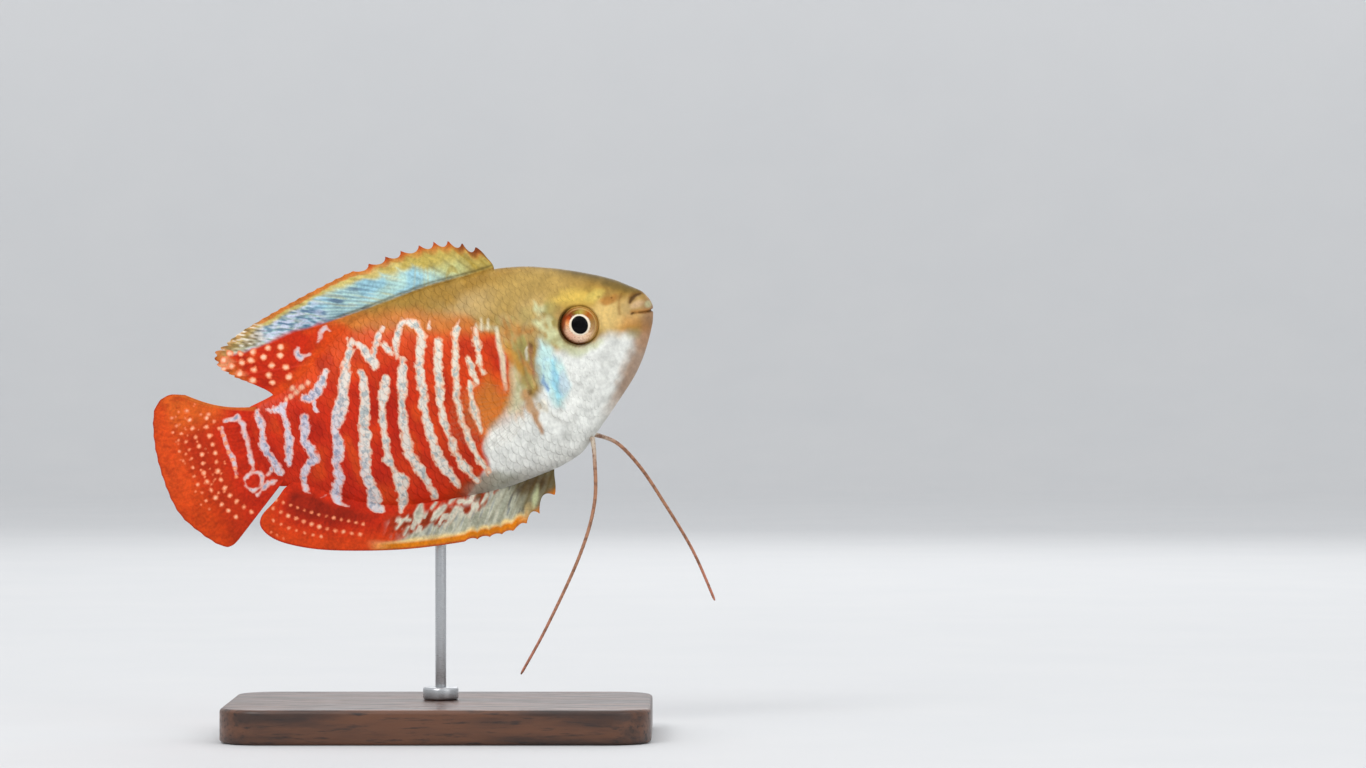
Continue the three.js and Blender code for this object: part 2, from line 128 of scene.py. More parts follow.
# Scales: length and row width by distance back, and the shape of one scale
SCALE_PITCH = [(5, 0.8), (12, 1.05), (20, 1.4), (34, 1.62), (48, 1.5), (61.6, 1.05)]
SCALE_ROW_GAP = [(5, 0.95), (12, 1.25), (20, 1.75), (34, 2.0), (48, 1.75), (61.6, 1.15)]
SCALE_LENGTH = 1.62
SCALE_WIDTH = 1.36
SCALE_GRID = (10, 10)
SCALE_RIM = 0.06
SCALE_LIFT = 0.055
SCALE_SINK = 0.13
SCALE_FRONT = 6.6
SCALE_REAR = 60.6
BAKE_PATCH = 0.003

# Fins: feet of the rays, inside the body, and the free margin, both front to rear
DORSAL_FEET = [(-20.4, 11.8), (-28, 12.5), (-36, 12.8), (-43, 12.0), (-49, 9.4), (-53, 7.2), (-55.4, 6.4)]
DORSAL_MARGIN = [
    (-20.1, 14.6), (-21.2, 16.9), (-24.5, 19.3), (-29, 20.2), (-36, 20.3), (-45, 19.5),
    (-53, 18.4), (-59, 17.3), (-62.7, 16.0), (-62.4, 13.4), (-59.6, 10.5), (-56.8, 8.6),
]
ANAL_FEET = [
    (-22.6, -16.2), (-30, -16.4), (-38, -15.2), (-46, -13.0), (-51, -10.6), (-55, -7.6), (-57.8, -5.6),
]
ANAL_MARGIN = [
    (-22.3, -18.2), (-23.4, -21.2), (-26.5, -23.0), (-31, -23.9), (-38, -22.8), (-46, -20.9),
    (-53, -18.5), (-59, -15.9), (-63.4, -13.0), (-65.1, -10.4), (-64.4, -8.6), (-61.4, -7.2),
]
TAIL_FEET = [(-59.4, 6.5), (-60.4, 3.4), (-60.7, 0.6), (-60.4, -2.4), (-59.6, -5.0)]
TAIL_MARGIN = [
    (-68.6, 11.9), (-71.2, 12.75), (-73.7, 11.3), (-75.4, 6.6), (-76.0, 1.0), (-75.6, -4.0),
    (-73.6, -8.0), (-71.6, -10.6), (-70.2, -11.2), (-68.9, -10.7),
]
PECTORAL_FEET = [(-20.4, -5.4), (-20.3, -7.0), (-20.4, -8.6)]
PECTORAL_MARGIN = [
    (-27.6, -1.6), (-31.6, -2.6), (-33.6, -5.6), (-33.4, -8.8), (-30.6, -11.4), (-26.4, -11.6),
]
PECTORAL_OUT = 4.7
PECTORAL_SPREAD = 0.2

# Points along and out from the feet of each fin, and half thicknesses at foot and margin
SPINY_FIN_GRID = (300, 44)
TAIL_FIN_GRID = (240, 72)
SIDE_FIN_GRID = (144, 40)
SPINY_FIN_HALF = (0.5, 0.13)
TAIL_FIN_HALF = (0.62, 0.12)
SIDE_FIN_HALF = (0.3, 0.06)
RAY_WIDTH = 0.2
TAIL_RAYS = 17
SIDE_FIN_RAYS = 11

# Spine and ray tips along the margins, and the slope of the rays there in degrees
DORSAL_TIPS = [-21.2, -22.8, -24.6, -26.6, -28.8, -31.6, -34.0, -36.7, -39.3]
DORSAL_SLOPE = [(20, 68), (24, 62), (30, 52), (36, 38), (42, 30), (50, 22), (56, 16), (64, 10)]
ANAL_TIPS = [-23.4, -26.4, -28.7, -30.9, -32.6, -34.4, -36.2, -38.0]
ANAL_SLOPE = [(22, 66), (26, 54), (32, 44), (40, 36), (50, 42), (58, 50), (66, 40)]

# Feelers, the thread-like pelvic fins: (along, out from the middle, height)
FEELER_RADII = (0.36, 0.25)
FEELER_STEPS = 120
FEELER_SIDES = 12
RIGHT_FEELER = [
    (-15.2, 1.0, -15.2), (-15.9, 1.5, -18.0), (-18.3, 2.4, -24.3), (-23.0, 3.6, -30.6),
    (-31.0, 4.8, -38.4), (-37.1, 5.4, -43.6),
]
LEFT_FEELER = [
    (-15.0, 1.0, -14.8), (-12.2, 2.0, -17.3), (-10.3, 2.9, -21.8), (-9.0, 3.9, -27.5),
    (-7.5, 4.9, -36.0), (-7.1, 5.4, -44.2),
]

# Stand
BASE_SIZE = (62, 40, 5)
BASE_CORNER = 6
BASE_BEVEL = 0.6
ROD = {"x": 0, "y": 2.2, "radius": 0.8, "foot": 2.3, "top": 45.5}
COLLAR = {"radius": 2.6, "low": 5.3, "high": 6.9, "bevel": 0.4}

# Pale bars of the flank, each as the places its middle passes: (u, v, width)
BARS = [
    [(-59.6, 6.0, 0.7), (-59.7, 3.0, 0.8), (-60.4, 0.8, 1.2), (-60.0, -1.2, 1.1), (-59.6, -3.8, 0.8)],
    [(-58.0, 5.5, 0.6), (-56.4, 4.9, 1.3), (-55.0, 5.5, 0.5)],
    [(-56.0, 4.4, 0.8), (-56.1, 3.0, 0.9), (-56.6, 0.4, 1.2), (-57.4, -1.2, 1.3), (-57.8, -3.2, 0.8)],
    [(-53.2, 2.6, 1.0), (-53.5, 1.4, 1.7), (-54.6, -0.6, 1.2), (-54.2, -2.4, 1.4), (-54.1, -3.6, 1.6),
     (-55.6, -4.3, 1.1), (-56.6, -5.8, 1.0), (-57.2, -7.8, 0.9), (-56.4, -9.4, 0.4), (-54.6, -9.2, 0.3)],
    [(-48.0, 7.8, 0.7), (-49.2, 6.4, 1.2), (-50.4, 5.2, 1.5), (-51.6, 4.8, 1.6), (-52.6, 5.5, 0.7)],
    [(-51.3, 4.0, 0.8), (-51.4, 2.8, 0.5)],
    [(-43.0, 10.5, 0.8), (-43.8, 9.0, 1.0), (-44.9, 7.4, 1.1), (-46.0, 5.4, 1.2), (-47.2, 3.0, 1.4),
     (-48.6, 1.2, 2.0), (-49.8, -0.8, 1.2), (-50.1, -3.2, 1.7), (-51.4, -5.2, 1.4), (-51.8, -7.6, 1.5),
     (-53.1, -9.3, 1.9), (-53.3, -11.0, 0.9), (-52.4, -11.9, 0.5)],
    [(-43.0, 10.4, 0.8), (-41.8, 9.2, 0.8), (-41.1, 7.0, 1.0), (-40.9, 6.2, 1.3), (-41.0, 5.6, 0.8)],
    [(-43.2, 5.5, 0.8), (-43.5, 3.4, 1.1), (-44.4, 1.2, 1.2), (-45.4, -1.2, 1.2), (-46.2, -4.0, 1.4),
     (-47.2, -6.0, 1.2), (-47.8, -8.4, 1.4), (-48.0, -11.2, 1.6), (-48.4, -13.2, 1.9), (-47.8, -14.8, 0.8)],
    [(-40.1, 3.7, 0.7), (-41.0, 1.8, 1.2), (-41.9, 0.2, 1.0), (-42.4, -1.2, 0.8), (-43.2, -4.0, 0.9),
     (-43.7, -6.2, 0.9), (-44.2, -7.4, 1.1), (-43.8, -9.0, 0.6), (-43.5, -11.2, 1.8),
     (-44.0, -13.0, 1.3), (-44.7, -14.6, 0.9), (-45.4, -15.8, 0.5)],
    [(-34.8, 10.4, 0.8), (-36.2, 9.2, 0.9), (-37.0, 8.0, 0.8), (-37.6, 5.9, 0.5)],
    [(-36.7, 5.4, 0.6), (-37.2, 4.2, 1.0), (-38.4, 1.6, 1.1), (-39.4, -1.0, 1.0), (-40.0, -2.8, 1.0),
     (-40.4, -5.4, 1.0), (-40.9, -8.0, 1.2), (-40.4, -10.5, 1.2), (-40.0, -13.0, 0.9), (-39.7, -15.0, 0.8)],
    [(-38.0, 10.6, 0.5), (-38.8, 9.9, 0.8), (-39.7, 9.0, 0.9), (-40.1, 8.0, 0.8), (-40.8, 7.0, 0.9)],
    [(-38.6, 8.3, 0.6), (-38.3, 7.4, 1.0), (-38.1, 6.5, 0.6)],
    [(-34.8, 10.4, 0.8), (-33.2, 9.2, 1.0), (-33.0, 7.2, 1.0), (-34.2, 5.2, 1.0), (-35.2, 2.4, 1.0),
     (-36.0, -0.8, 1.0), (-36.7, -4.0, 1.0), (-37.2, -8.5, 1.2), (-37.1, -10.5, 1.3),
     (-36.4, -13.5, 1.1), (-35.9, -15.0, 0.8)],
    [(-31.0, 9.4, 0.4), (-31.8, 8.2, 0.5)],
    [(-31.0, 5.8, 0.7), (-31.8, 4.0, 1.0), (-32.8, 0.8, 1.0), (-34.0, -2.6, 0.9), (-34.5, -6.0, 0.8),
     (-34.5, -10.0, 0.9), (-34.3, -12.0, 1.1), (-33.6, -13.8, 0.9), (-33.0, -15.2, 0.6)],
    [(-26.9, 7.8, 0.4), (-28.0, 6.4, 0.8), (-29.2, 3.6, 0.9), (-30.2, 0.8, 0.9), (-31.4, -2.6, 0.8),
     (-31.9, -6.0, 0.6), (-31.9, -10.0, 0.7), (-31.7, -12.4, 0.9), (-31.0, -14.6, 0.6)],
    [(-25.2, 5.8, 0.8), (-25.7, 4.2, 1.0), (-26.1, 2.5, 0.95), (-26.5, 0.8, 0.9), (-26.6, -1.0, 0.7)],
    [(-27.7, 2.0, 0.6), (-27.9, 0.2, 0.95), (-27.9, -1.6, 0.6)],
    [(-28.8, -1.2, 0.6), (-29.4, -3.6, 0.8), (-29.8, -6.2, 0.85), (-29.9, -8.6, 0.5)],
]
# White lines and rings at the root of the tail fin
TAIL_LINES = [
    [(-64.6, 6.2, 0.5), (-63.2, 5.9, 0.7), (-62.4, 6.3, 0.6), (-62.2, 4.6, 0.9), (-62.5, 3.2, 0.9),
     (-62.7, 1.4, 0.7), (-62.9, -0.4, 0.8), (-63.1, -1.9, 0.6)],
    [(-62.4, -2.5, 0.3), (-63.6, -2.2, 0.5), (-64.8, -2.8, 0.5), (-65.0, -3.8, 0.5), (-64.2, -4.8, 0.5),
     (-63.0, -4.7, 0.4), (-62.3, -3.6, 0.4), (-62.4, -2.5, 0.3)],
    [(-64.0, -5.6, 0.4), (-62.8, -5.0, 0.6), (-61.8, -4.5, 0.7), (-60.5, -4.6, 0.4)],
    [(-61.4, -3.4, 0.3), (-60.4, -2.6, 0.4)],
    [(-65.3, 5.4, 0.5), (-65.6, 3.2, 0.5), (-65.3, 0.8, 0.6), (-65.8, -1.8, 0.5)],
]
# Arcs of pale dots on the tail fin: places along each arc, dots and dot width
TAIL_DOT_ARCS = [
    ([(-66.4, 8.0), (-65.5, 5.0), (-65.6, 2.4), (-65.5, 0.2), (-65.8, -2.0)], 9, 0.62),
    ([(-66.8, 7.6), (-67.4, 5.8), (-67.4, 2.6), (-68.0, 0.1), (-68.0, -2.9), (-67.2, -5.2), (-65.6, -7.6)],
     13, 0.72),
    ([(-69.2, 9.6), (-69.3, 6.8), (-69.4, 2.8), (-70.1, 0.0), (-69.9, -3.0), (-69.5, -4.6), (-68.0, -7.4)],
     14, 0.7),
    ([(-71.6, 9.4), (-70.9, 5.5), (-71.0, 2.8), (-71.6, 0.0), (-71.4, -2.0), (-71.2, -5.0)], 12, 0.5),
    ([(-72.2, 7.4), (-72.3, 5.0), (-72.3, 3.0)], 4, 0.4),
]
# Rows of pale dots on the belly fin, told as the arcs are
ANAL_DOT_ROWS = [
    ([(-61.6, -7.2), (-58.9, -9.6), (-56.2, -11.7), (-53.6, -13.4), (-51.0, -15.1)], 13, 0.5),
    ([(-62.5, -8.3), (-60.8, -10.0), (-57.8, -12.6), (-55.2, -14.5), (-52.0, -16.3)], 12, 0.62),
    ([(-63.1, -9.9), (-61.4, -11.7), (-59.3, -13.3), (-57.4, -14.6)], 7, 0.5),
    ([(-64.0, -11.3), (-62.6, -12.9)], 3, 0.4),
]
# Pale dots and bent lines on the back fin's rear lobe
DORSAL_DOTS = [
    (-60.8, 13.4), (-59.2, 13.3), (-57.7, 13.1), (-55.9, 12.9), (-60.0, 12.0), (-57.9, 11.7),
    (-55.2, 11.4), (-58.6, 10.3), (-56.1, 10.1), (-56.0, 9.0), (-53.5, 12.2), (-53.4, 10.4),
    (-58.9, 14.6), (-57.0, 14.2), (-54.8, 14.0), (-61.6, 14.7), (-60.3, 15.2), (-53.4, 8.9),
    (-62.0, 13.4), (-52.9, 13.3),
]
DORSAL_SQUIGGLES = [
    [(-50.6, 12.3, 0.5), (-51.2, 11.6, 0.6), (-50.8, 10.9, 0.7), (-49.6, 10.9, 0.6)],
    [(-47.6, 12.2, 0.4), (-46.8, 13.2, 0.6), (-45.9, 13.6, 0.6), (-45.4, 13.0, 0.4)],
]
# Small peach spots in a row before the root of the tail
PEACH_SPOTS = [(-51.4, 7.1), (-52.3, 6.8), (-53.1, 6.4), (-53.9, 6.1), (-54.8, 5.9), (-53.4, 7.2)]
# Tips and feet of pale strokes over the first bar of red
CREAM_STROKES = [((-24.0, 6.7), (-24.5, 5.2)), ((-23.1, 6.3), (-23.6, 5.0)), ((-25.0, 6.2), (-25.3, 5.2))]
# Pale flecks at the foot of the belly fin: (u, v, width)
ANAL_FLECKS = [
    [(-46.6, -17.4, 0.4), (-45.4, -16.7, 0.5), (-44.4, -17.0, 0.4)],
    [(-43.4, -17.4, 0.8), (-42.9, -16.6, 1.3), (-42.2, -15.6, 0.8)],
    [(-41.4, -18.2, 0.5), (-40.0, -17.4, 0.8), (-38.8, -16.8, 0.6)],
    [(-38.6, -18.6, 0.5), (-37.4, -17.7, 0.7)],
    [(-36.6, -17.0, 0.8), (-35.2, -17.6, 0.5)],
    [(-36.0, -19.4, 0.5), (-34.4, -18.5, 0.6)],
    [(-33.6, -18.4, 0.5), (-32.6, -17.6, 0.5)],
    [(-45.9, -18.6, 0.3), (-45.0, -17.9, 0.4)],
    [(-39.8, -19.5, 0.4), (-38.4, -18.8, 0.5)],
    [(-34.6, -17.0, 0.4), (-33.6, -16.3, 0.6)],
    [(-38.0, -16.7, 0.4), (-37.0, -16.0, 0.5)],
    [(-40.8, -16.6, 0.4), (-39.9, -16.0, 0.4)],
]


def srgb(red, green, blue):
    """A colour on the usual 0 to 255 scale, as linear light."""
    share = np.array([red, green, blue]) / 255
    return np.where(share <= 0.04045, share / 12.92, ((share + 0.055) / 1.055) ** 2.4)


def tint(red, green, blue):
    """The same, as a shader's socket takes it."""
    return (*srgb(red, green, blue), 1.0)


RED = srgb(196, 42, 12)
DEEP_RED = srgb(170, 24, 6)
DARK_RED = srgb(118, 26, 10)
RED_ORANGE = srgb(220, 80, 20)
ORANGE = srgb(200, 112, 42)
OLIVE_GOLD = srgb(160, 122, 50)
NAPE = srgb(180, 148, 80)
DARK_OLIVE = srgb(92, 76, 34)
GOLD = srgb(234, 198, 92)
SAND = srgb(190, 160, 104)
TAN = srgb(222, 188, 116)
PALE_GREEN = srgb(200, 206, 160)
MOSS = srgb(156, 150, 82)
SILVER = srgb(237, 238, 231)
GREY = srgb(176, 176, 168)
CHIN_BROWN = srgb(152, 116, 86)
CYAN = srgb(196, 230, 226)
BRIGHT_CYAN = srgb(160, 224, 238)
SLATE_BLUE = srgb(112, 146, 196)
LAVENDER = srgb(208, 212, 234)
MAROON = srgb(150, 86, 70)
WHITE = srgb(238, 232, 214)
PINK_CREAM = srgb(214, 178, 140)
PEACH = srgb(250, 176, 130)
DARK_BROWN = srgb(74, 48, 16)
BRONZE = srgb(182, 118, 44)
FIN_BLUE = srgb(180, 216, 208)
FIN_SKY = srgb(150, 202, 222)
FIN_SLATE = srgb(92, 118, 146)
FIN_YELLOW = srgb(208, 186, 96)
FIN_LIME = srgb(206, 206, 136)
FIN_OLIVE = srgb(168, 142, 56)
FIN_RUST = srgb(196, 110, 42)
GREY_CREAM = srgb(196, 194, 172)
GREY_GREEN = srgb(152, 154, 134)
CREAM_YELLOW = srgb(240, 206, 134)
AMBER = srgb(216, 122, 10)
RUST = srgb(150, 62, 26)
OCHRE = srgb(192, 142, 54)
GLOWING_ORANGE = srgb(208, 112, 24)
FLECK_CREAM = srgb(212, 210, 190)
BAR_CREAM = srgb(228, 220, 188)
CLAY = srgb(194, 148, 100)
LICHEN = srgb(202, 202, 168)
LEAF = srgb(222, 226, 176)
PEACH_CREAM = srgb(240, 194, 160)
DARK_BRONZE = srgb(116, 76, 24)
TAIL_RED = srgb(182, 48, 12)
TAIL_ORANGE = srgb(218, 78, 24)
TAIL_LOW_RED = srgb(198, 62, 10)
TAIL_UPPER_ORANGE = srgb(226, 104, 34)
TAIL_GRAIN_RED = srgb(176, 46, 10)
TAIL_MARGIN_RED = srgb(150, 40, 10)
TAIL_RAY_RED = srgb(160, 34, 8)
CLEAR_TAN = srgb(214, 190, 150)

# Colours that the materials mix
BAR_CORES = (tint(232, 220, 200), tint(210, 202, 212))
BAR_SPECKS = (tint(164, 178, 174), tint(128, 136, 164))
BAR_RIMS = (tint(234, 176, 140), tint(230, 176, 166))
DOT_RIM = tint(240, 128, 84)
DOT_CORE = tint(250, 206, 172)
FEELER_ROOT = tint(200, 186, 166)
FEELER_MIDDLE = tint(170, 118, 86)
FEELER_TIP = tint(186, 116, 92)
FEELER_BROWN = tint(128, 86, 60)
PUPIL_BLACK = tint(3, 3, 5)
IRIS_CREAM = tint(240, 226, 202)
IRIS_STREAK = tint(162, 100, 66)
IRIS_RUST = tint(140, 72, 28)
IRIS_UPPER_RED = tint(122, 46, 12)
EYE_RING = (tint(190, 152, 78), tint(92, 52, 22))
EYE_ARC_GOLD = tint(214, 180, 104)
WOOD_GRAIN = (tint(52, 29, 17), tint(98, 58, 33))
WOOD_PORE = tint(36, 20, 12)
STEEL_GREY = tint(186, 188, 190)
FLOOR_GREYS = (tint(206, 207, 208), tint(212, 212, 212))
WALL_GREY = tint(250, 250, 250)


def smooth_line(points):
    """A smooth line through a few points, without overshoot, as a function of the first value."""
    x, y = np.array(points, float).T
    slope = np.diff(y) / np.diff(x)
    before, after = slope[:-1], slope[1:]
    same_way = before * after > 0
    middle = np.where(same_way, 2 * before * after / np.where(same_way, before + after, 1), 0)
    tangent = np.concatenate([slope[:1], middle, slope[-1:]])

    def value(place):
        i = np.clip(np.searchsorted(x, place) - 1, 0, len(x) - 2)
        span = x[i + 1] - x[i]
        t = np.clip((place - x[i]) / span, 0, 1)
        rise = y[i] * (2 * t**3 - 3 * t**2 + 1) + y[i + 1] * (3 * t**2 - 2 * t**3)
        bend = tangent[i] * (t**3 - 2 * t**2 + t) + tangent[i + 1] * (t**3 - t**2)
        return rise + bend * span

    return value


back_line = smooth_line(BACK_LINE)
belly_line = smooth_line(BELLY_LINE)
half_width = smooth_line(HALF_WIDTH)
widest_level = smooth_line(WIDEST_LEVEL)
back_ridge = smooth_line(BACK_RIDGE)
belly_keel = smooth_line(BELLY_KEEL)
coat_depth = smooth_line(COAT_DEPTH)
scale_pitch = smooth_line(SCALE_PITCH)
scale_row_gap = smooth_line(SCALE_ROW_GAP)


def lerp(start, end, share):
    """The value this share of the way from start to end."""
    return start + (end - start) * share


def ramp(value, low, high):
    """0 below low, 1 above high, and smooth between."""
    t = np.clip((value - low) / (high - low), 0, 1)
    return t * t * (3 - 2 * t)


def fall(value, low, high):
    """1 below low, 0 above high."""
    return 1 - ramp(value, low, high)


def hump(distance, width):
    """1 at no distance, fading to 0 on both sides."""
    return np.exp(-((distance / width) ** 2))


def rounding(distance, length):
    """A quarter round: 0 at distance 0 and 1 from this length on."""
    t = np.clip(distance / length, 0, 1)
    return np.sqrt(1 - (1 - t) ** 2)


def to_frame(points):
    """Places in the fish's frame, in millimetres, as places in the row frame, in metres."""
    along, side, up = np.asarray(points, float).T
    x = SNOUT[0] + along * math.cos(PITCH) - up * math.sin(PITCH)
    z = SNOUT[2] + along * math.sin(PITCH) + up * math.cos(PITCH)
    return np.stack([x, side, z], axis=1) * MM


def spline_at(points, shares):
    """Places at these shares of the length of a smooth curve through the points."""
    knots = np.array(points, float)
    knots = np.concatenate([knots[:1], knots, knots[-1:]])
    t = np.linspace(0, 1, 24)[:, None]
    runs = []
    for before, start, end, after in zip(knots, knots[1:], knots[2:], knots[3:]):
        pull = (end - before) / 2
        push = (after - start) / 2
        runs.append(start * (2 * t**3 - 3 * t**2 + 1) + end * (3 * t**2 - 2 * t**3)
                    + pull * (t**3 - 2 * t**2 + t) + push * (t**3 - t**2))
    curve = np.concatenate(runs)
    steps = np.linalg.norm(np.diff(curve, axis=0), axis=1)
    length = np.concatenate([[0], np.cumsum(steps)])
    wanted = np.asarray(shares) * length[-1]
    return np.stack([np.interp(wanted, length, axis) for axis in curve.T], axis=1)


def away(u, v, place):
    """Distance from one place, in side view."""
    return np.hypot(u - place[0], v - place[1])


def nearest(u, v, points):
    """Distance from each place to a line of points, the share along it, and its width there."""
    line = np.array([(*point[:2], point[2] if len(point) > 2 else 0) for point in points], float)
    best = np.full(u.shape, 1e9)
    share = np.zeros(u.shape)
    width = np.zeros(u.shape)
    lengths = np.linalg.norm(np.diff(line[:, :2], axis=0), axis=1)
    ends = np.concatenate([[0], np.cumsum(lengths)])
    for i, (start, end) in enumerate(zip(line, line[1:])):
        run = end[:2] - start[:2]
        t = np.clip(((u - start[0]) * run[0] + (v - start[1]) * run[1]) / (run @ run), 0, 1)
        distance = np.hypot(u - start[0] - t * run[0], v - start[1] - t * run[1])
        closer = distance < best
        best = np.where(closer, distance, best)
        share = np.where(closer, (ends[i] + t * lengths[i]) / ends[-1], share)
        width = np.where(closer, lerp(start[2], end[2], t), width)
    return best, share, width


def spot(u, v, centre, radii, soft=0.5):
    """1 inside an oval patch, fading to 0 around its edge; soft is a share of its radius."""
    distance = np.hypot((u - centre[0]) / radii[0], (v - centre[1]) / radii[1])
    return fall(distance, 1 - soft, 1 + soft)


def field(u, v, lines, swell=1.0):
    """0.5 at the edge of the widening lines, rising to 1 a millimetre inside and 0 outside."""
    best = np.full(u.shape, 1e9)
    for points in lines:
        distance, _, width = nearest(u, v, points)
        best = np.minimum(best, distance - width * swell / 2)
    return np.clip(0.5 - best / 2, 0, 1)


def dots_field(u, v, places, width):
    """The same field for round dots."""
    best = np.full(u.shape, 1e9)
    for place in places:
        best = np.minimum(best, away(u, v, place) - width / 2)
    return np.clip(0.5 - best / 2, 0, 1)


def dot_rows_field(u, v, rows):
    """The same field for rows of dots: (places along the row, how many, dot width)."""
    best = np.zeros(u.shape)
    for points, count, width in rows:
        places = spline_at(points, np.linspace(0, 1, count))
        best = np.maximum(best, dots_field(u, v, places, width))
    return best


def ripple(u, v, size, layer=0):
    """Smooth random values from -1 to 1 over the side view, so many millimetres apart."""
    across, up = u / size[0], v / size[1]
    i, j = np.floor(across).astype(int), np.floor(up).astype(int)
    s, t = ramp(across - i, 0, 1), ramp(up - j, 0, 1)
    table = RANDOM_TABLE[layer]
    count = len(table)
    low = lerp(table[i % count, j % count], table[(i + 1) % count, j % count], s)
    high = lerp(table[i % count, (j + 1) % count], table[(i + 1) % count, (j + 1) % count], s)
    return lerp(low, high, t)


def wander(u, v, reach, size):
    """The places moved a little to and fro, for marks with uneven edges."""
    return u + reach[0] * ripple(u, v, size, 0), v + reach[1] * ripple(u, v, size, 1)


def patch(u, v, points, soft=0.4):
    """1 inside a line of varying width, fading to 0 over the soft stretch."""
    distance, _, width = nearest(u, v, points)
    return fall(distance - width / 2, -soft / 2, soft / 2)


def lay(paint, colour, mask):
    """Lays a colour over the paint, as thick as the mask says."""
    return paint + (colour - paint) * np.clip(mask, 0, 1)[..., None]


def lay_over(paint, layers):
    """Lays colours over one another: (colour, mask)."""
    for colour, mask in layers:
        paint = lay(paint, colour, mask)
    return paint


def lay_marks(paint, u, v, marks):
    """Lays soft marks one over another: (colour, strength, softness, outline).

    The outline is a list of (u, v, width) places for a streak, or (middle, radii) for an oval.
    """
    for colour, strength, soft, outline in marks:
        is_streak = isinstance(outline, list)
        shape = patch(u, v, outline, soft) if is_streak else spot(u, v, *outline, soft)
        paint = lay(paint, colour, strength * shape)
    return paint


# Body form


def body_surface(back, angle):
    """Places on the smooth body: angle 0 is its right side and a quarter turn is its back."""
    rear = lerp(TAIL_END_SHARE, 1, rounding(BODY_LENGTH - back, TAIL_ROUNDING))
    rear = rear * rounding(BODY_LENGTH - back, TAIL_ROUNDING * 0.15)
    width_open = rounding(back, SNOUT_ROUNDING) * rear
    level = widest_level(back)
    rise = (back_line(back) - level) * width_open
    drop = (level - belly_line(back)) * width_open
    across = np.cos(angle)
    up = np.sin(angle)
    power = np.where(up > 0, back_ridge(back), belly_keel(back))
    side = -half_width(back) * width_open * np.sign(across) * np.abs(across) ** power
    height = level + up * np.where(up > 0, rise, drop)
    return np.stack([-back, side, height], axis=-1)


def grid_normals(grid):
    """Outward unit normals of the skin's grid of rings (first axis) and sides (second axis)."""
    around = np.roll(grid, -1, axis=1) - np.roll(grid, 1, axis=1)
    along = np.gradient(grid, axis=0)
    normal = np.cross(around, along)
    normal /= np.maximum(np.linalg.norm(normal, axis=2, keepdims=True), 1e-9)
    normal[0] = (1, 0, 0)
    normal[-1] = (-1, 0, 0)
    return normal


def groove(u, v, points, width, depth, taper=0.15):
    """A rounded groove along a line, fading at both of its ends."""
    distance, share, _ = nearest(u, v, points)
    ends = ramp(share, 0, taper) * ramp(1 - share, 0, taper)
    return -depth * hump(distance, width) * ends


def sculpt(u, v):
    """How far the head's folds stand out from, or cut into, the smooth body."""
    height = groove(u, v, GAPE, 0.15, 0.34, 0.06)
    height -= groove(u, v, UPPER_LIP, 0.55, 0.12, 0.25)
    height -= groove(u, v, LOWER_LIP, 0.4, 0.13, 0.25)
    height += groove(u, v, LIP_FOLD, 0.36, 0.28, 0.25)
    height += groove(u, v, MUZZLE_FOLD, 0.3, 0.13)
    height += groove(u, v, EYE_BONE, 0.3, 0.09)
    height += groove(u, v, CHEEK_EDGE, 0.3, 0.14)
    for ray in THROAT_RAYS:
        height += groove(u, v, ray, 0.28, 0.09)
    for centre, radius in NOSTRILS:
        distance = away(u, v, centre)
        height -= 0.2 * np.exp(-((distance / radius) ** 4))
        height += 0.03 * hump(distance - radius * 1.6, 0.12)
    height += cover_step(u, v)
    # Swelling at the root of the side fin, then the rim and the orbit round the eye
    height += 0.3 * np.exp(-(((u + 20.9) / 0.9) ** 2) - ((v + 7.0) / 1.7) ** 2)
    distance = away(u, v, EYE_CENTRE)
    height += 0.12 * hump(distance - SOCKET_RADIUS - 0.32, 0.22)
    height += 0.1 * hump(distance - SOCKET_RADIUS - 1.2, 0.5) * (v < EYE_CENTRE[1])
    return height


def cover_gap(u, v):
    """Distance in from the gill cover's rear edge, negative behind it, and how free the edge is."""
    distance, share, _ = nearest(u, v, COVER_EDGE)
    place = spline_at(COVER_EDGE, share)
    out = away(u, v, COVER_MIDDLE)
    edge_out = away(*place.T, COVER_MIDDLE)
    ends = ramp(share, 0.02, 0.2) * ramp(1 - share, 0.05, 0.45)
    return np.where(out.ravel() < edge_out, distance.ravel(), -distance.ravel()), ends


def cover_step(u, v):
    """The gill cover's rear edge: a thin plate that ends in a step, with a crease behind it."""
    shape = u.shape
    gap, ends = cover_gap(u.ravel(), v.ravel())
    plate = 0.2 * ramp(gap, -0.08, 0.25) * np.exp(-np.clip(gap, 0, None) / 2.6)
    behind = np.clip(gap + 0.25, None, 0)
    crease = -0.08 * hump(behind, 0.5) * fall(gap, -0.3, 0.1)
    return ((plate + crease) * ends).reshape(shape)


def skin_grid():
    """How far back each ring of the skin is, the rings' places, and their outward normals."""
    ring = np.linspace(0, 1, SKIN_RINGS + 1)
    back = smooth_line(RING_PLACES)(ring)
    angle = np.linspace(0, 2 * math.pi, SKIN_SIDES, endpoint=False)
    back_grid, angle_grid = np.meshgrid(back, angle, indexing="ij")
    grid = body_surface(back_grid, angle_grid)
    normal = grid_normals(grid)
    u, v = grid[..., 0].copy(), grid[..., 2].copy()
    height = sculpt(u, v) - coat_depth(back_grid)
    grid = grid + normal * height[..., None]
    distance = away(u, v, EYE_CENTRE)
    sink = SOCKET_DEPTH * fall(distance, SOCKET_RADIUS - 0.45, SOCKET_RADIUS + 0.2)
    grid[..., 1] -= np.sign(grid[..., 1]) * np.minimum(sink, np.abs(grid[..., 1]) * 0.6)
    grid[0] = grid[0].mean(axis=0)
    grid[-1] = grid[-1].mean(axis=0)
    return back, grid, grid_normals(grid)


# Markings, the same on skin and scales

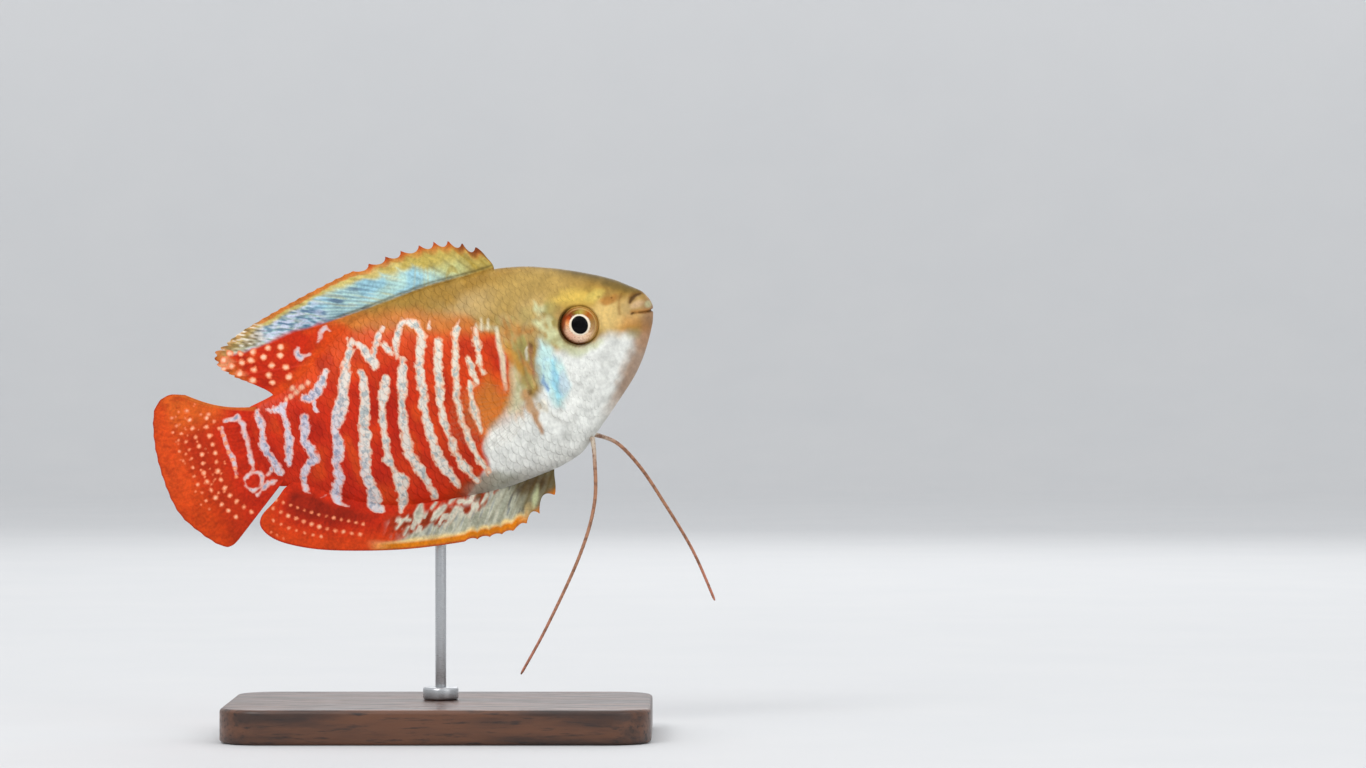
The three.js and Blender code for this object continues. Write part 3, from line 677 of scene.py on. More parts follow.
# The red's front edge by height; its upper edge and the silver's by distance back
flank_front = smooth_line([
    (-18, -36.4), (-16.5, -34.6), (-15.0, -32.5), (-13.4, -31.0), (-11, -30.6), (-8, -28.8),
    (-7, -26.4), (-5, -24.7), (-1, -22.9), (3.2, -22.6), (5.0, -24.4), (7, -25.6), (10, -28.0),
    (13, -33.0),
])
flank_top = smooth_line([
    (22, 4.4), (26, 4.9), (30, 6.6), (34, 8.4), (38, 10.0), (42, 11.4), (45, 14.0), (62, 15.0),
])
silver_top = smooth_line([
    (0, -4.4), (3, -3.4), (6, -2.6), (8, -1.9), (10, -2.5), (13, -2.2), (16, -1.4), (18, -4.0),
    (19, -5.4), (22, -7.0), (25, -7.0), (28, -8.2), (31, -9.0), (40, -14.0),
])


def head_paint(paint, u, v):
    """Adds the head's colours and the dark rim of the eye."""
    near = wander(u, v, (0.3, 0.3), (0.9, 1.0))
    blotch = ripple(u, v, (0.7, 1.1), 5)
    paint = brow_paint(paint, u, v, near, blotch)
    paint = throat_paint(paint, u, v, near, blotch)
    paint = mouth_paint(paint, u, v, near)
    # The rim is darkest behind and below the eye
    rim = np.abs(away(u, v, EYE_CENTRE) - SOCKET_RADIUS - 0.05)
    behind = ramp(-0.9 * (u - EYE_CENTRE[0]) - 0.3 * (v - EYE_CENTRE[1]), -1.4, 0.6)
    return lay(paint, DARK_BROWN, 0.7 * behind * fall(rim, 0.05, 0.35))


def brow_paint(paint, u, v, near, blotch):
    """Nape, gold brow, tan snout, pale green stripe behind the eye, and dark profile."""
    back = -u
    under_back = back_line(back) - v
    paint = lay_marks(paint, *near, [
        (NAPE, 0.9, 0.5, ((-15.5, 8.0), (7.0, 3.6))),
        (GOLD, 0.85, 2.6, [(-7.4, 3.8, 1.2), (-10.4, 4.8, 2.0), (-13.4, 5.2, 1.0)]),
        (SAND, 0.7, 0.5, ((-16.6, 3.6), (3.4, 3.2))),
        (TAN, 0.95, 0.45, ((-6.6, 0.4), (2.6, 2.6))),
        (FIN_YELLOW, 0.6, 0.5, ((-7.4, 3.9), (1.3, 0.7))),
        (BRONZE, 0.75, 0.5, ((-5.7, 2.7), (1.3, 0.55))),
    ])
    paint = lay_marks(paint, u, v, [(SAND, 0.8, 0.5, ((-2.8, 0.0), (2.0, 2.0)))])
    paint = lay_marks(paint, *near, [(ORANGE, 0.28, 0.7, ((-4.3, -1.6), (1.9, 1.2)))])
    before_stripe = [(-14.6, 4.6, 1.0), (-14.5, 2.4, 1.5), (-15.0, 0.0, 1.0)]
    stripe = [(-15.9, 5.6, 0.4), (-16.2, 3.0, 1.3), (-15.9, 0.4, 1.5)]
    behind_eye = [(-15.4, 5.0, 0.8), (-15.3, 3.0, 1.8), (-14.9, 0.8, 1.6), (-14.0, -1.4, 1.0)]
    moss = 0.6 * patch(*near, before_stripe, 1.2)
    paint = lay(paint, MOSS, moss * ramp(blotch, -0.5, 0.5))
    green = 0.95 * patch(*near, stripe, 1.3)
    paint = lay(paint, PALE_GREEN, green * ramp(-blotch, -0.7, 0.2))
    paint = lay_marks(paint, *near, [
        (LEAF, 0.8, 0.9, [(-17.1, 3.5, 0.3), (-16.4, 2.8, 0.9), (-15.9, 1.8, 0.4)]),
        (LEAF, 0.5, 0.8, [(-16.0, 6.4, 0.2), (-15.9, 4.5, 0.5)]),
    ])
    flecks = ramp(ripple(u, v, (0.6, 0.8), 4), -0.5, 0.5)
    paint = lay(paint, LEAF, 0.6 * flecks * patch(*near, behind_eye, 1.0))
    paint = lay_marks(paint, *near, [
        (MOSS, 0.5, 0.6, ((-14.1, 4.4), (1.1, 1.0))),
        (MOSS, 0.3, 0.6, ((-17.6, 4.7), (1.3, 1.2))),
    ])
    forehead = ramp(back, 0.5, 3) * fall(back, 8, 14)
    paint = lay(paint, DARK_OLIVE, 0.9 * fall(under_back, 0.0, 2.2) * forehead)
    ridge = 0.6 * fall(under_back, 0.0, 0.9)
    return lay(paint, DARK_OLIVE, ridge * (1 - 0.8 * ramp(back, 18, 22)))


def throat_paint(paint, u, v, near, blotch):
    """Silver cheek, throat and belly, with a pale green cheek edge, painted shade along the lower cheek and
    belly, and a brown chin.
    """
    back = -u
    over_belly = v - belly_line(back)
    silver = ramp(silver_top(back) - near[1], -0.9, 1.2)
    paint = lay_over(paint, [
        (SILVER, silver),
        (GREY, 0.24 * silver * ramp(ripple(u, v, (1.4, 0.9), 3), -0.1, 0.9)),
        (GREY, 0.15 * silver * ramp(ripple(u, v, (0.5, 0.4), 4), 0.1, 0.8)),
    ])
    cheek = [(-14.7, 1.2, 0.8), (-14.3, -1.2, 1.5), (-12.6, -2.9, 1.4), (-9.0, -2.8, 0.7)]
    paint = lay_marks(paint, *near, [(PALE_GREEN, 0.65, 1.3, cheek)])
    # Painted shade: the silver greys along the lower cheek and belly, which face away from the light above
    paint = lay(paint, GREY, 0.6 * silver * fall(over_belly, 0.1, 2.4) * ramp(back, 8, 16))
    from_profile = over_belly * lerp(0.6, 0.8, ramp(back, 4, 14)) + 0.3 * blotch
    chin = fall(from_profile, 0.8, 2.9 - 0.9 * ramp(back, 6, 10))
    paint = lay(paint, CHIN_BROWN, 0.85 * (chin * fall(back, 8, 14)))
    return lay_marks(paint, *near, [
        (BRONZE, 0.35, 0.6, ((-2.8, -4.2), (1.6, 2.0))),
        (MOSS, 0.35, 0.6, ((-4.1, -3.2), (1.0, 0.8))),
    ])


def mouth_paint(paint, u, v, near):
    """Lips, the folds round them darkened with painted shade, and the nostrils, darkened the same way."""
    muzzle = [(-1.0, 2.2, 0.8), (-2.8, 3.2, 1.3), (-5.4, 5.0, 0.8)]
    over_lip = [(-0.9, 2.0, 0.4), (-1.9, 1.95, 0.9), (-2.6, 1.6, 1.0), (-3.2, 1.0, 0.6)]
    lip_fold = [(-1.1, 1.85, 0.2), (-1.9, 1.85, 0.45), (-2.5, 1.6, 0.55), (-3.0, 1.15, 0.3)]
    cheek_fold = [(-3.7, 2.8, 0.2), (-4.3, 2.1, 0.35), (-4.8, 1.0, 0.5), (-5.0, 0.1, 0.4)]
    paint = lay_marks(paint, *near, [(DARK_OLIVE, 0.55, 1.0, muzzle)])
    paint = lay_marks(paint, u, v, [(PINK_CREAM, 0.6, 0.5, ((-2.1, 0.55), (1.0, 0.5)))])
    paint = lay_marks(paint, *near, [(DARK_BRONZE, 0.7, 0.8, over_lip)])
    # Painted shade: dark brown and bronze along the lip fold, the gape and its corner, and the cheek fold,
    # where the head's creases are cut in
    paint = lay_marks(paint, u, v, [
        (PALE_GREEN, 0.5, 0.5, ((-0.6, 0.0), (0.5, 0.5))),
        (DARK_BROWN, 0.85, 0.35, lip_fold),
        (BRONZE, 0.6, 0.6, [(-0.8, -0.9, 0.5), (-2.0, -0.55, 0.6), (-3.2, -0.2, 0.5)]),
        (DARK_BRONZE, 0.6, 0.35, [(-0.2, -1.1, 0.4), (-1.4, -0.95, 0.4), (-2.3, -0.7, 0.2)]),
        (DARK_BROWN, 0.8, 0.3, [(-0.2, -1.05, 0.35), (-1.0, -1.02, 0.15)]),
        (DARK_BROWN, 0.65, 0.5, ((-3.25, -0.45), (0.3, 0.16))),
        (DARK_BRONZE, 0.5, 0.5, cheek_fold),
    ])
    # Painted shade in the nostril pits
    nostrils = [(DARK_OLIVE, 0.2, 0.4, (centre, (radius, radius))) for centre, radius in NOSTRILS]
    return lay_marks(paint, u, v, nostrils)


def gill_paint(paint, u, v):
    """Adds the streaks behind the gill cover, the pale blue patch on it, and its edge."""
    near = wander(u, v, (0.3, 0.5), (0.6, 1.0))
    streaks = ripple(u, v, (0.42, 1.6), 2)
    paint = streak_paint(paint, u, v, near, streaks)
    paint = blue_paint(paint, u, v, near)
    return cover_paint(paint, u, v, near, streaks)


def streak_paint(paint, u, v, near, streaks):
    """Sandy and mossy streaks between the gill cover and the red."""
    zone = patch(*near, [(-21.0, 4.6, 3.0), (-21.0, 1.0, 4.6), (-21.6, -3.6, 4.4)], 1.2)
    pale = [(-22.4, -0.6, 0.5), (-22.8, -2.6, 1.7), (-23.0, -5.0, 2.3), (-24.2, -7.2, 1.8)]
    paint = lay_over(paint, [
        (SAND, 0.8 * zone),
        (MOSS, 0.5 * zone * ramp(streaks, -0.1, 0.5)),
        (BRONZE, 0.55 * zone * ramp(-streaks, 0.1, 0.6)),
    ])
    paint = lay_marks(paint, *near, [
        (BRONZE, 0.5, 1.6, [(-21.9, 4.4, 1.3), (-20.0, 3.5, 1.7), (-18.0, 2.7, 1.1)]),
        (ORANGE, 0.35, 0.9, [(-19.8, 2.7, 0.4), (-17.6, 2.4, 0.5)]),
        (LICHEN, 0.8, 1.2, pale),
    ])
    paint = lay(paint, MOSS, 0.4 * patch(*near, pale, 1.0) * ramp(streaks, 0, 0.6))
    paint = lay_marks(paint, *near, [
        (OCHRE, 0.75, 0.7, [(-21.6, 2.2, 0.5), (-21.5, 0.2, 1.0), (-21.1, -2.8, 0.7)]),
        (ORANGE, 0.5, 0.6, [(-20.4, 0.6, 0.3), (-20.2, -1.6, 0.6), (-20.0, -3.4, 0.5)]),
    ])
    paint = lay_marks(paint, u, v, [(BRONZE, 0.6, 0.6, [(-21.9, 1.2, 0.3), (-22.0, -0.8, 0.4)])])
    return lay_marks(paint, *near, [(MOSS, 0.6, 0.5, ((-19.9, 1.3), (0.8, 0.9)))])


def blue_paint(paint, u, v, near):
    """The pale blue patch on the gill cover, with its brighter and darker parts."""
    outline = [
        (-17.0, 0.7, 0.4), (-17.1, -1.2, 2.2), (-17.3, -4.2, 4.0), (-17.3, -6.8, 3.6), (-17.7, -8.4, 1.9),
    ]
    bright = [(-16.7, -2.6, 0.5), (-16.8, -4.4, 1.0), (-17.8, -8.0, 0.7)]
    slate = [(-18.6, -4.4, 0.3), (-18.8, -5.6, 0.75), (-18.7, -6.6, 0.3)]
    blue = patch(*near, outline, 1.5)
    paint = lay_over(paint, [
        (CYAN, 0.95 * blue),
        (LAVENDER, 0.45 * blue * spot(*near, (-16.2, -6.4), (0.9, 1.5), 0.5)),
        (BRIGHT_CYAN, 0.8 * blue * patch(*near, bright, 0.7)),
    ])
    paint = lay_marks(paint, *near, [(SLATE_BLUE, 0.75, 0.5, slate)])
    return lay(paint, SLATE_BLUE, 0.35 * blue * ramp(ripple(u, v, (0.5, 1.1), 4), 0.1, 0.8))


def cover_paint(paint, u, v, near, streaks):
    """Maroon streak and pale sliver on the gill cover's edge, and the root of the side fin."""
    edge = [(-18.7, 0.9, 0.4), (-19.2, -1.4, 0.35), (-19.7, -3.1, 0.6), (-19.9, -4.3, 0.3)]
    sliver = [(-19.2, 0.4, 0.2), (-19.5, -0.5, 0.35), (-19.8, -1.3, 0.15)]
    root = [(-22.0, -5.9, 0.9), (-21.9, -8.4, 1.4), (-21.6, -11.4, 0.8)]
    paint = lay_marks(paint, *near, [(MAROON, 0.7, 0.6, edge)])
    paint = lay_marks(paint, u, v, [(DARK_BROWN, 0.5, 0.7, ((-18.7, 0.5), (0.4, 0.5)))])
    paint = lay_marks(paint, near[0], v, [(WHITE, 0.8, 0.4, sliver)])
    paint = lay_marks(paint, *near, [
        (CLAY, 0.55, 1.0, [(-22.0, -7.2, 0.9), (-24.3, -8.4, 1.1)]),
        (CLAY, 0.85, 0.7, root),
    ])
    paint = lay(paint, BRONZE, 0.45 * patch(*near, root, 0.6) * ramp(streaks, -0.2, 0.5))
    under_root = [(-21.7, -9.8, 0.4), (-21.5, -11.4, 0.5)]
    paint = lay_marks(paint, *near, [(MAROON, 0.35, 0.6, under_root)])
    paint = lay_marks(paint, u, v, [(DARK_BROWN, 0.6, 0.5, ((-21.2, -5.8), (0.35, 0.45)))])
    return lay_marks(paint, *near, [(WHITE, 0.85, 0.4, ((-20.3, -8.3), (0.8, 0.8)))])


def flank_paint(paint, u, v, near):
    """The flank's orange and red, and how red each place is."""
    near_u, near_v = near
    back = -u
    front = flank_front(near_v)
    above = near_v - flank_top(back)
    orange = 0.9 * ramp(front - near_u, -1.6, 0.8) * fall(above, 1.6, 4.8)
    paint = lay(paint, ORANGE, orange * ramp(v, -12, -9))
    red = ramp(front - near_u, -0.3, 0.5) * fall(above, -1.8, 1.4)
    paint = lay_over(paint, [
        (RED, red),
        (RED_ORANGE, 0.75 * red * ramp(v, 4.5, 9.5)),
        (RED_ORANGE, 0.4 * red * fall(back, 31, 41)),
        (RED_ORANGE, 0.5 * red * ramp(ripple(u, v, (1.8, 3.0), 5), 0.1, 0.9)),
        (DEEP_RED, 0.6 * red * ramp(-ripple(u, v, (1.8, 3.0), 4), 0.0, 0.9)),
    ])
    low_front = fall(back, 28, 34) * fall(v, -4.5, -1) * ramp(v, -10, -7)
    paint = lay(paint, ORANGE, 0.7 * red * low_front)
    golden = [(-26.2, -1.8, 1.0), (-27.0, -4.6, 3.0), (-28.6, -7.0, 2.4), (-30.0, -9.2, 1.0)]
    paint = lay_marks(paint, *near, [
        (ORANGE, 0.75, 2.0, golden),
        (GLOWING_ORANGE, 0.7, 0.7, ((-26.8, -5.0), (2.2, 2.8))),
    ])
    return paint, red


def body_paint(u, v):
    """Ground colour of skin and scales at places in side view."""
    near = wander(u, v, (0.5, 0.5), (1.6, 2.2))
    paint = lay(OLIVE_GOLD, NAPE, 0.3 * ramp(ripple(u, v, (1.2, 1.8), 3), -0.4, 0.8))
    paint = lay_marks(paint, *near, [(SAND, 0.8, 0.6, ((-24.0, 8.6), (4.2, 2.0)))])
    paint = head_paint(paint, u, v)
    paint = gill_paint(paint, u, v)
    paint, red = flank_paint(paint, u, v, near)
    # Soft cream lines before and over the first bar of red
    line = [(-22.5, 4.6, 0.5), (-22.8, 2.4, 0.7), (-23.2, 0.2, 0.7), (-23.8, -2.0, 0.7), (-24.4, -4.2, 0.4)]
    paint = lay_marks(paint, u + 0.4 * (near[0] - u), v, [(BAR_CREAM, 0.8, 0.35, line)])
    arch = [(-24.8, 5.6, 0.5), (-23.6, 5.2, 0.8), (-22.7, 4.6, 0.5)]
    paint = lay_marks(paint, *near, [(LICHEN, 0.45, 0.9, arch)])
    strokes = [(BAR_CREAM, 0.75, 0.35, [(*tip, 0.2), (*foot, 0.45)]) for tip, foot in CREAM_STROKES]
    paint = lay_marks(paint, u, v, strokes)
    # Grey and rusty belly over the front of its fin
    paint = lay_marks(paint, *near, [
        (RUST, 0.7, 0.6, ((-33.6, -15.7), (3.0, 1.3))),
        (GREY_GREEN, 0.7, 0.6, ((-30.8, -16.2), (3.6, 1.3))),
        (DARK_OLIVE, 0.35, 0.8, ((-28.2, -17.1), (2.8, 0.9))),
    ])
    paint = lay_marks(paint, near[0], v, [
        *[(PEACH_CREAM, 0.8, 0.5, (centre, (0.32, 0.36))) for centre in PEACH_SPOTS],
        (DEEP_RED, 0.35, 0.6, [(-24.2, 3.0, 1.2), (-24.2, 0.0, 1.4), (-24.6, -1.4, 0.9)]),
        (RED_ORANGE, 0.5, 1.2, [(-24.6, -1.8, 1.2), (-24.9, -4.0, 1.4)]),
    ])
    # Painted shade: a dark olive line in the crease behind the gill cover's rear edge
    gap, ends = cover_gap(u.ravel(), v.ravel())
    crease = (hump(gap + 0.15, 0.28) * ends).reshape(u.shape)
    paint = lay(paint, DARK_OLIVE, 0.25 * crease)
    grain = 0.11 * ripple(u, v, (0.42, 0.6), 3) + 0.07 * ripple(u, v, (1.1, 1.5), 4)
    return paint * (1 + grain * (1 - 0.2 * red))[..., None]


def body_marks(u, v):
    """Bars in red, how blue they are in green, and the silvery shine in blue."""
    back = -u
    swell = lerp(1.2, 1.45, ramp(back, 25, 33)) - 0.35 * ramp(back, 46, 52) - 0.15 * ramp(-v, 6, 10)
    bars = np.maximum(field(u, v, BARS, swell), field(u, v, TAIL_LINES, 0.8))
    blue = 0.25 * ramp(back, 27, 40) + 0.75 * ramp(back, 45, 52)
    shine = ramp(silver_top(back) - v, -0.8, 1.4) * (flank_front(v) < u)
    return np.stack([bars, blue, shine], axis=-1)


# Meshes


def add_to_scene(thing):
    """Puts a new object into the scene."""
    bpy.context.scene.collection.objects.link(thing)


def set_mode(mode):
    """Object mode or edit mode."""
    bpy.ops.object.mode_set(mode=mode)


def new_object(name, verts, faces):
    """A smooth mesh piece of these places in the row frame."""
    mesh = bpy.data.meshes.new(name)
    mesh.from_pydata(verts.tolist(), [], faces)
    mesh.validate()
    piece = bpy.data.objects.new(name, mesh)
    add_to_scene(piece)
    mesh.shade_smooth()
    return piece


def colour_points(piece, name, values):
    """Keeps up to three values for each point of the piece, for its material to read."""
    layer = piece.data.attributes.new(name, "FLOAT_COLOR", "POINT")
    full = np.ones((len(values), 4), np.float32)
    full[:, :values.shape[1]] = values
    layer.data.foreach_set("color", full.ravel())


def map_points(piece, name, places):
    """A UV map that gives each corner its point's place on the map."""
    layer = piece.data.uv_layers.new(name=name)
    corner_points = np.zeros(len(piece.data.loops), np.int32)
    piece.data.loops.foreach_get("vertex_index", corner_points)
    layer.data.foreach_set("uv", np.asarray(places, np.float32)[corner_points].ravel())


def finish_piece(piece, material, slot, *nodes):
    """Gives a piece its material and body, and hides the CAD nodes that it stands for; the slot is not
    used.
    """
    piece.data.materials.clear()
    piece.data.materials.append(material)
    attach(piece, "root")
    if nodes:
        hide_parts(*nodes)


def deselect():
    """Lets go of every object, the CAD nodes among them."""
    bpy.ops.object.select_all(action="DESELECT")


def pick(piece):
    """Makes this piece the only one that is selected."""
    deselect()
    bpy.context.view_layer.objects.active = piece
    piece.select_set(True)


def grid_faces(index):
    """Four-sided faces between the neighbouring points of a grid."""
    corners = [index[:-1, :-1], index[:-1, 1:], index[1:, 1:], index[1:, :-1]]
    return np.stack(corners, axis=-1).reshape(-1, 4)


def grid_rim(index):
    """The points round the edge of a grid, in turn."""
    return np.concatenate([index[0, :-1], index[:-1, -1], index[-1, :0:-1], index[:0:-1, 0]])


def add_ball(name, segments, rings):
    """A ball of radius 1, and the x, y and z of its points."""
    deselect()
    bpy.ops.mesh.primitive_uv_sphere_add(segments=segments, ring_count=rings, radius=1)
    ball = bpy.context.object
    ball.name = name
    points = np.zeros(len(ball.data.vertices) * 3)
    ball.data.vertices.foreach_get("co", points)
    return ball, points.reshape(-1, 3).T


def shape_ball(ball, places):
    """Draws the ball's points out to these places in the fish's frame."""
    ball.data.vertices.foreach_set("co", to_frame(places).ravel())
    ball.data.update()
    ball.data.shade_smooth()


def make_skin(material, grid):
    """One skin for the head, jaw, gill covers, trunk and tail base: a dense ball drawn out."""
    skin, (x, y, z) = add_ball("skin", SKIN_SIDES, SKIN_RINGS)
    ring = np.rint(np.arccos(np.clip(z, -1, 1)) / math.pi * SKIN_RINGS).astype(int)
    side = np.rint(-np.arctan2(y, x) / (2 * math.pi) * SKIN_SIDES).astype(int) % SKIN_SIDES
    places = grid[ring, side]
    shape_ball(skin, places)
    skin.data.uv_layers[0].name = "OFBake"
    u, v = places[:, 0], places[:, 2]
    colour_points(skin, "Paint", body_paint(u, v))
    colour_points(skin, "Marks", body_marks(u, v))
    finish_piece(skin, material, "skin", "head", "lower_jaw", "gill_cover_left",
                 "gill_cover_right", "trunk", "tail_base")


def scale_roots(back_of_ring, grid, quarter):
    """Where the scales of one side are rooted: (back, arc up from the side line, u, v)."""
    roots = []
    back = SCALE_FRONT
    column = 0
    while back < SCALE_REAR:
        ring = int(np.clip(np.searchsorted(back_of_ring, back), 1, SKIN_RINGS - 1))
        line = grid[ring, quarter]
        steps = np.linalg.norm(np.diff(line, axis=0), axis=1)
        arc = np.concatenate([[0], np.cumsum(steps)])
        middle = arc[len(line) // 2]
        gap = float(scale_row_gap(back))
        low = math.ceil((-middle + 0.45 * gap) / gap)
        high = math.floor((arc[-1] - middle - 0.45 * gap) / gap)
        for row in range(low, high + 1):
            up = (row + 0.5 * (column % 2)) * gap
            if up < arc[-1] - middle - 0.4 * gap:
                u, _, v = (np.interp(middle + up, arc, axis) for axis in line.T)
                roots.append((back, up, u, v))
        back += float(scale_pitch(back)) / 2
        column += 1
    return np.array(roots)


def keeps_scale(u, v):
    """Scales leave out the snout, lips, chin, eye and the gill cover's edge."""
    eye = away(u, v, EYE_CENTRE) > SOCKET_RADIUS + 1.15
    tips = u - scale_pitch(-u) * 1.3
    root_gap, ends = cover_gap(u, v)
    tip_gap, _ = cover_gap(tips, v)
    crossing = (ends > 0.3) & (root_gap > -0.45) & (tip_gap < 0.15)
    snout = u + 0.35 * np.abs(v - 1) < -7.2
    chin = v - belly_line(-u) > np.where(-u < 13, 2.4, 0.5)
    return eye & ~crossing & snout & chin


def scale_grid():
    """One scale as a grid: each point's share along it, its place across it, and its number."""
    steps_along, steps_across = SCALE_GRID
    lengthwise = np.append(np.linspace(0, 1 - SCALE_RIM, steps_along), 1)
    inside = np.linspace(SCALE_RIM * 2 - 1, 1 - SCALE_RIM * 2, steps_across - 1)
    crosswise = np.concatenate([[-1], inside, [1]])
    a = np.repeat(lengthwise, steps_across + 1)
    b = np.tile(crosswise, steps_along + 1)
    return a, b, np.arange(len(a)).reshape(steps_along + 1, steps_across + 1)


def scale_faces(index, rim, left):
    """Faces of one scale: its plate, the walls down from its rim, and its underside."""
    low = index.size + np.arange(len(rim))
    walls = np.stack([rim, low, np.roll(low, -1), np.roll(rim, -1)], axis=-1)
    faces = np.concatenate([grid_faces(index), walls]).tolist() + [low[::-1].tolist()]
    return faces if left else [face[::-1] for face in faces]


def make_scales(side_name, material, back_of_ring, grid, normal):
    """The scales of one side, thin closed plates that overlap towards the tail, as two pieces."""
    left = side_name == "left"
    half = SKIN_SIDES // 2
    order = np.arange(half + 1) - SKIN_SIDES // 4
    quarter = (half - order if left else order) % SKIN_SIDES
    roots = scale_roots(back_of_ring, grid, quarter)
    roots = roots[keeps_scale(roots[:, 2], roots[:, 3])]
    count = len(roots)
    a, b, index = scale_grid()
    rim = grid_rim(index)
    reach = 0.4 + 0.6 * np.sqrt(1 - (0.93 * b) ** 2)
    along = -0.1 + a * (0.1 + 0.9 * reach)
    across = b / 2 * (1 - 0.14 * (1 - a) ** 2)
    length = scale_pitch(roots[:, 0]) * SCALE_LENGTH * chance.uniform(0.97, 1.03, count)
    width = scale_row_gap(roots[:, 0]) * SCALE_WIDTH
    lift = SCALE_LIFT * np.clip(length / 2.5, 0.4, 1) * chance.uniform(0.85, 1.15, count)
    tilt = chance.uniform(-0.012, 0.012, count)
    back = roots[:, :1] + along[None] * length[:, None]
    # Rows draw together towards the tail, so the place up the side scales with the row gap
    squeeze = scale_row_gap(np.minimum(back, BODY_LENGTH)) / scale_row_gap(roots[:, :1])
    up = roots[:, 1:2] * squeeze + across[None] * width[:, None]
    dome = a[None] ** 1.4 * (1 - 0.45 * b[None] ** 4)
    rise = -0.03 + lift[:, None] * dome + tilt[:, None] * b[None]
    # The rim of each plate goes down into the skin and is closed underneath
    back = np.concatenate([back, back[:, rim]], axis=1).ravel()
    up = np.concatenate([up, up[:, rim]], axis=1).ravel()
    rise = np.concatenate([rise, np.full((count, len(rim)), -SCALE_SINK)], axis=1).ravel()
    places = on_skin(back, up, rise, back_of_ring, grid[:, quarter], normal[:, quarter])
    per_scale = len(a) + len(rim)
    u, v = places[:, 0], places[:, 2]
    all_a = np.tile(np.concatenate([a, a[rim]]), count)
    all_b = np.tile(np.concatenate([b, b[rim]]), count)
    tone = np.repeat(chance.uniform(0, 1, count), per_scale)
    kept_values = {
        "Paint": body_paint(u, v),
        "Marks": body_marks(u, v),
        "Plate": np.stack([all_a, tone], axis=1),
    }
    # On the map each scale is a small patch of its own, placed as its root is on the side
    root_across = np.repeat(roots[:, 0] / BODY_LENGTH, per_scale) * 0.96 + 0.02
    root_up = np.repeat(0.5 + roots[:, 1] / 50, per_scale)
    on_map = np.stack([root_across + all_a * BAKE_PATCH, root_up + (all_b + 1) / 2 * BAKE_PATCH], axis=1)
    # A front and a rear piece, so that neither has too many faces
    pattern = scale_faces(index, rim, left)
    in_front = roots[:, 0] < np.median(roots[:, 0])
    for part, chosen in (("front", in_front), ("rear", ~in_front)):
        faces = []
        for base in range(0, int(chosen.sum()) * per_scale, per_scale):
            faces.extend([[corner + base for corner in face] for face in pattern])
        points = np.repeat(chosen, per_scale)
        piece = new_object(f"scales_{side_name}_{part}", to_frame(places[points]), faces)
        for key, values in kept_values.items():
            colour_points(piece, key, values[points])
        map_points(piece, "OFBake", on_map[points])
        finish_piece(piece, material, "skin")


def on_skin(back, up, rise, back_of_ring, grid, normal):
    """Places on one side of the skin: so far back, so far up its side line, raised by rise."""
    ring = np.clip(np.interp(back, back_of_ring, np.arange(len(back_of_ring))), 1, SKIN_RINGS - 1.001)
    below = ring.astype(int)
    part = ring - below
    places = np.zeros((len(back), 3))
    for step, weight in ((0, 1 - part), (1, part)):
        rings = below + step
        for k in np.unique(rings):
            chosen = rings == k
            line = grid[k]
            arc = np.concatenate([[0], np.cumsum(np.linalg.norm(np.diff(line, axis=0), axis=1))])
            wanted = np.clip(arc[len(line) // 2] + up[chosen], 0, arc[-1])
            for axis in range(3):
                place = np.interp(wanted, arc, line[:, axis])
                out = np.interp(wanted, arc, normal[k, :, axis])
                places[chosen, axis] += weight[chosen] * (place + rise[chosen] * out)
    return places


# Fins


def ray_lines(tips, slope, step, margin_points, towards):
    """Rays as lines from their tips on the margin, leaning forward into the body."""
    margin = spline_at(margin_points, np.linspace(0, 1, 400))
    last = tips[-1]
    places = list(tips)
    far = margin[:, 0].min()
    while last - step > far + 1.5:
        last -= step
        places.append(last)
    lines = []
    for place in places:
        near = margin[np.argmin(np.abs(margin[:, 0] - place) + (margin[:, 1] * towards < 0) * 9)]
        angle = math.radians(float(smooth_line(slope)(-place)))
        run = np.array([math.cos(angle), -towards * math.sin(angle)])
        lines.append((near, run))
    return lines


def ray_mask(u, v, lines, width):
    """1 along the rays, fading across their width."""
    best = np.full(u.shape, 1e9)
    for tip, run in lines:
        ahead = (u - tip[0]) * run[0] + (v - tip[1]) * run[1]
        aside = np.abs((u - tip[0]) * run[1] - (v - tip[1]) * run[0])
        best = np.minimum(best, np.where(ahead > -0.6, aside, 1e9))
    return hump(best, width)


def from_tips(u, v, lines):
    """Distance to the nearest ray tip."""
    return np.min([np.hypot(u - tip[0], v - tip[1]) for tip, _ in lines], axis=0)


def forked_rays(share, count, forks, width, gap, fork_width):
    """1 along a fan's rays, each of which parts into two where it forks."""
    turn = share * count
    near = np.abs(turn - np.rint(turn))
    single = hump(near, width)
    double = hump(near - gap, fork_width)
    return lerp(single, double, forks)


def across_rays(u, v, lean):
    """The side view turned so that its second direction runs with rays that lean so many degrees."""
    angle = np.radians(lean)
    return u * np.sin(angle) + v * np.cos(angle), u * np.cos(angle) - v * np.sin(angle)


def fin_sheet(feet, margin, grid, bow, *cuts):
    """A fin's middle places as a grid from its feet to its margin, cut back along the margin.

    It gives u, v, the share out to the margin, the distance in from it, and the share along it.
    """
    columns, rows = grid
    share = np.linspace(0, 1, columns + 1)
    foot = spline_at(feet, share)
    edge = spline_at(margin, share)
    ray = edge - foot
    length = np.linalg.norm(ray, axis=1)
    for cut_back in cuts:
        ray = ray * (1 - cut_back(edge, share) / length)[:, None]
    across = np.stack([-ray[:, 1], ray[:, 0]], axis=1)
    across /= np.linalg.norm(across, axis=1)[:, None]
    out = 1 - (1 - np.linspace(0, 1, rows + 1)) ** 1.15
    bend = lerp(bow[0], bow[1], share)[:, None, None] * np.sin(math.pi * out)[None, :, None]
    places = foot[:, None] + ray[:, None] * out[None, :, None] + across[:, None] * bend
    outs = np.broadcast_to(out[None], places.shape[:2])
    from_edge = (1 - out)[None] * np.linalg.norm(ray, axis=1)[:, None]
    shares = np.broadcast_to(share[:, None], places.shape[:2])
    return places[..., 0], places[..., 1], outs, from_edge, shares


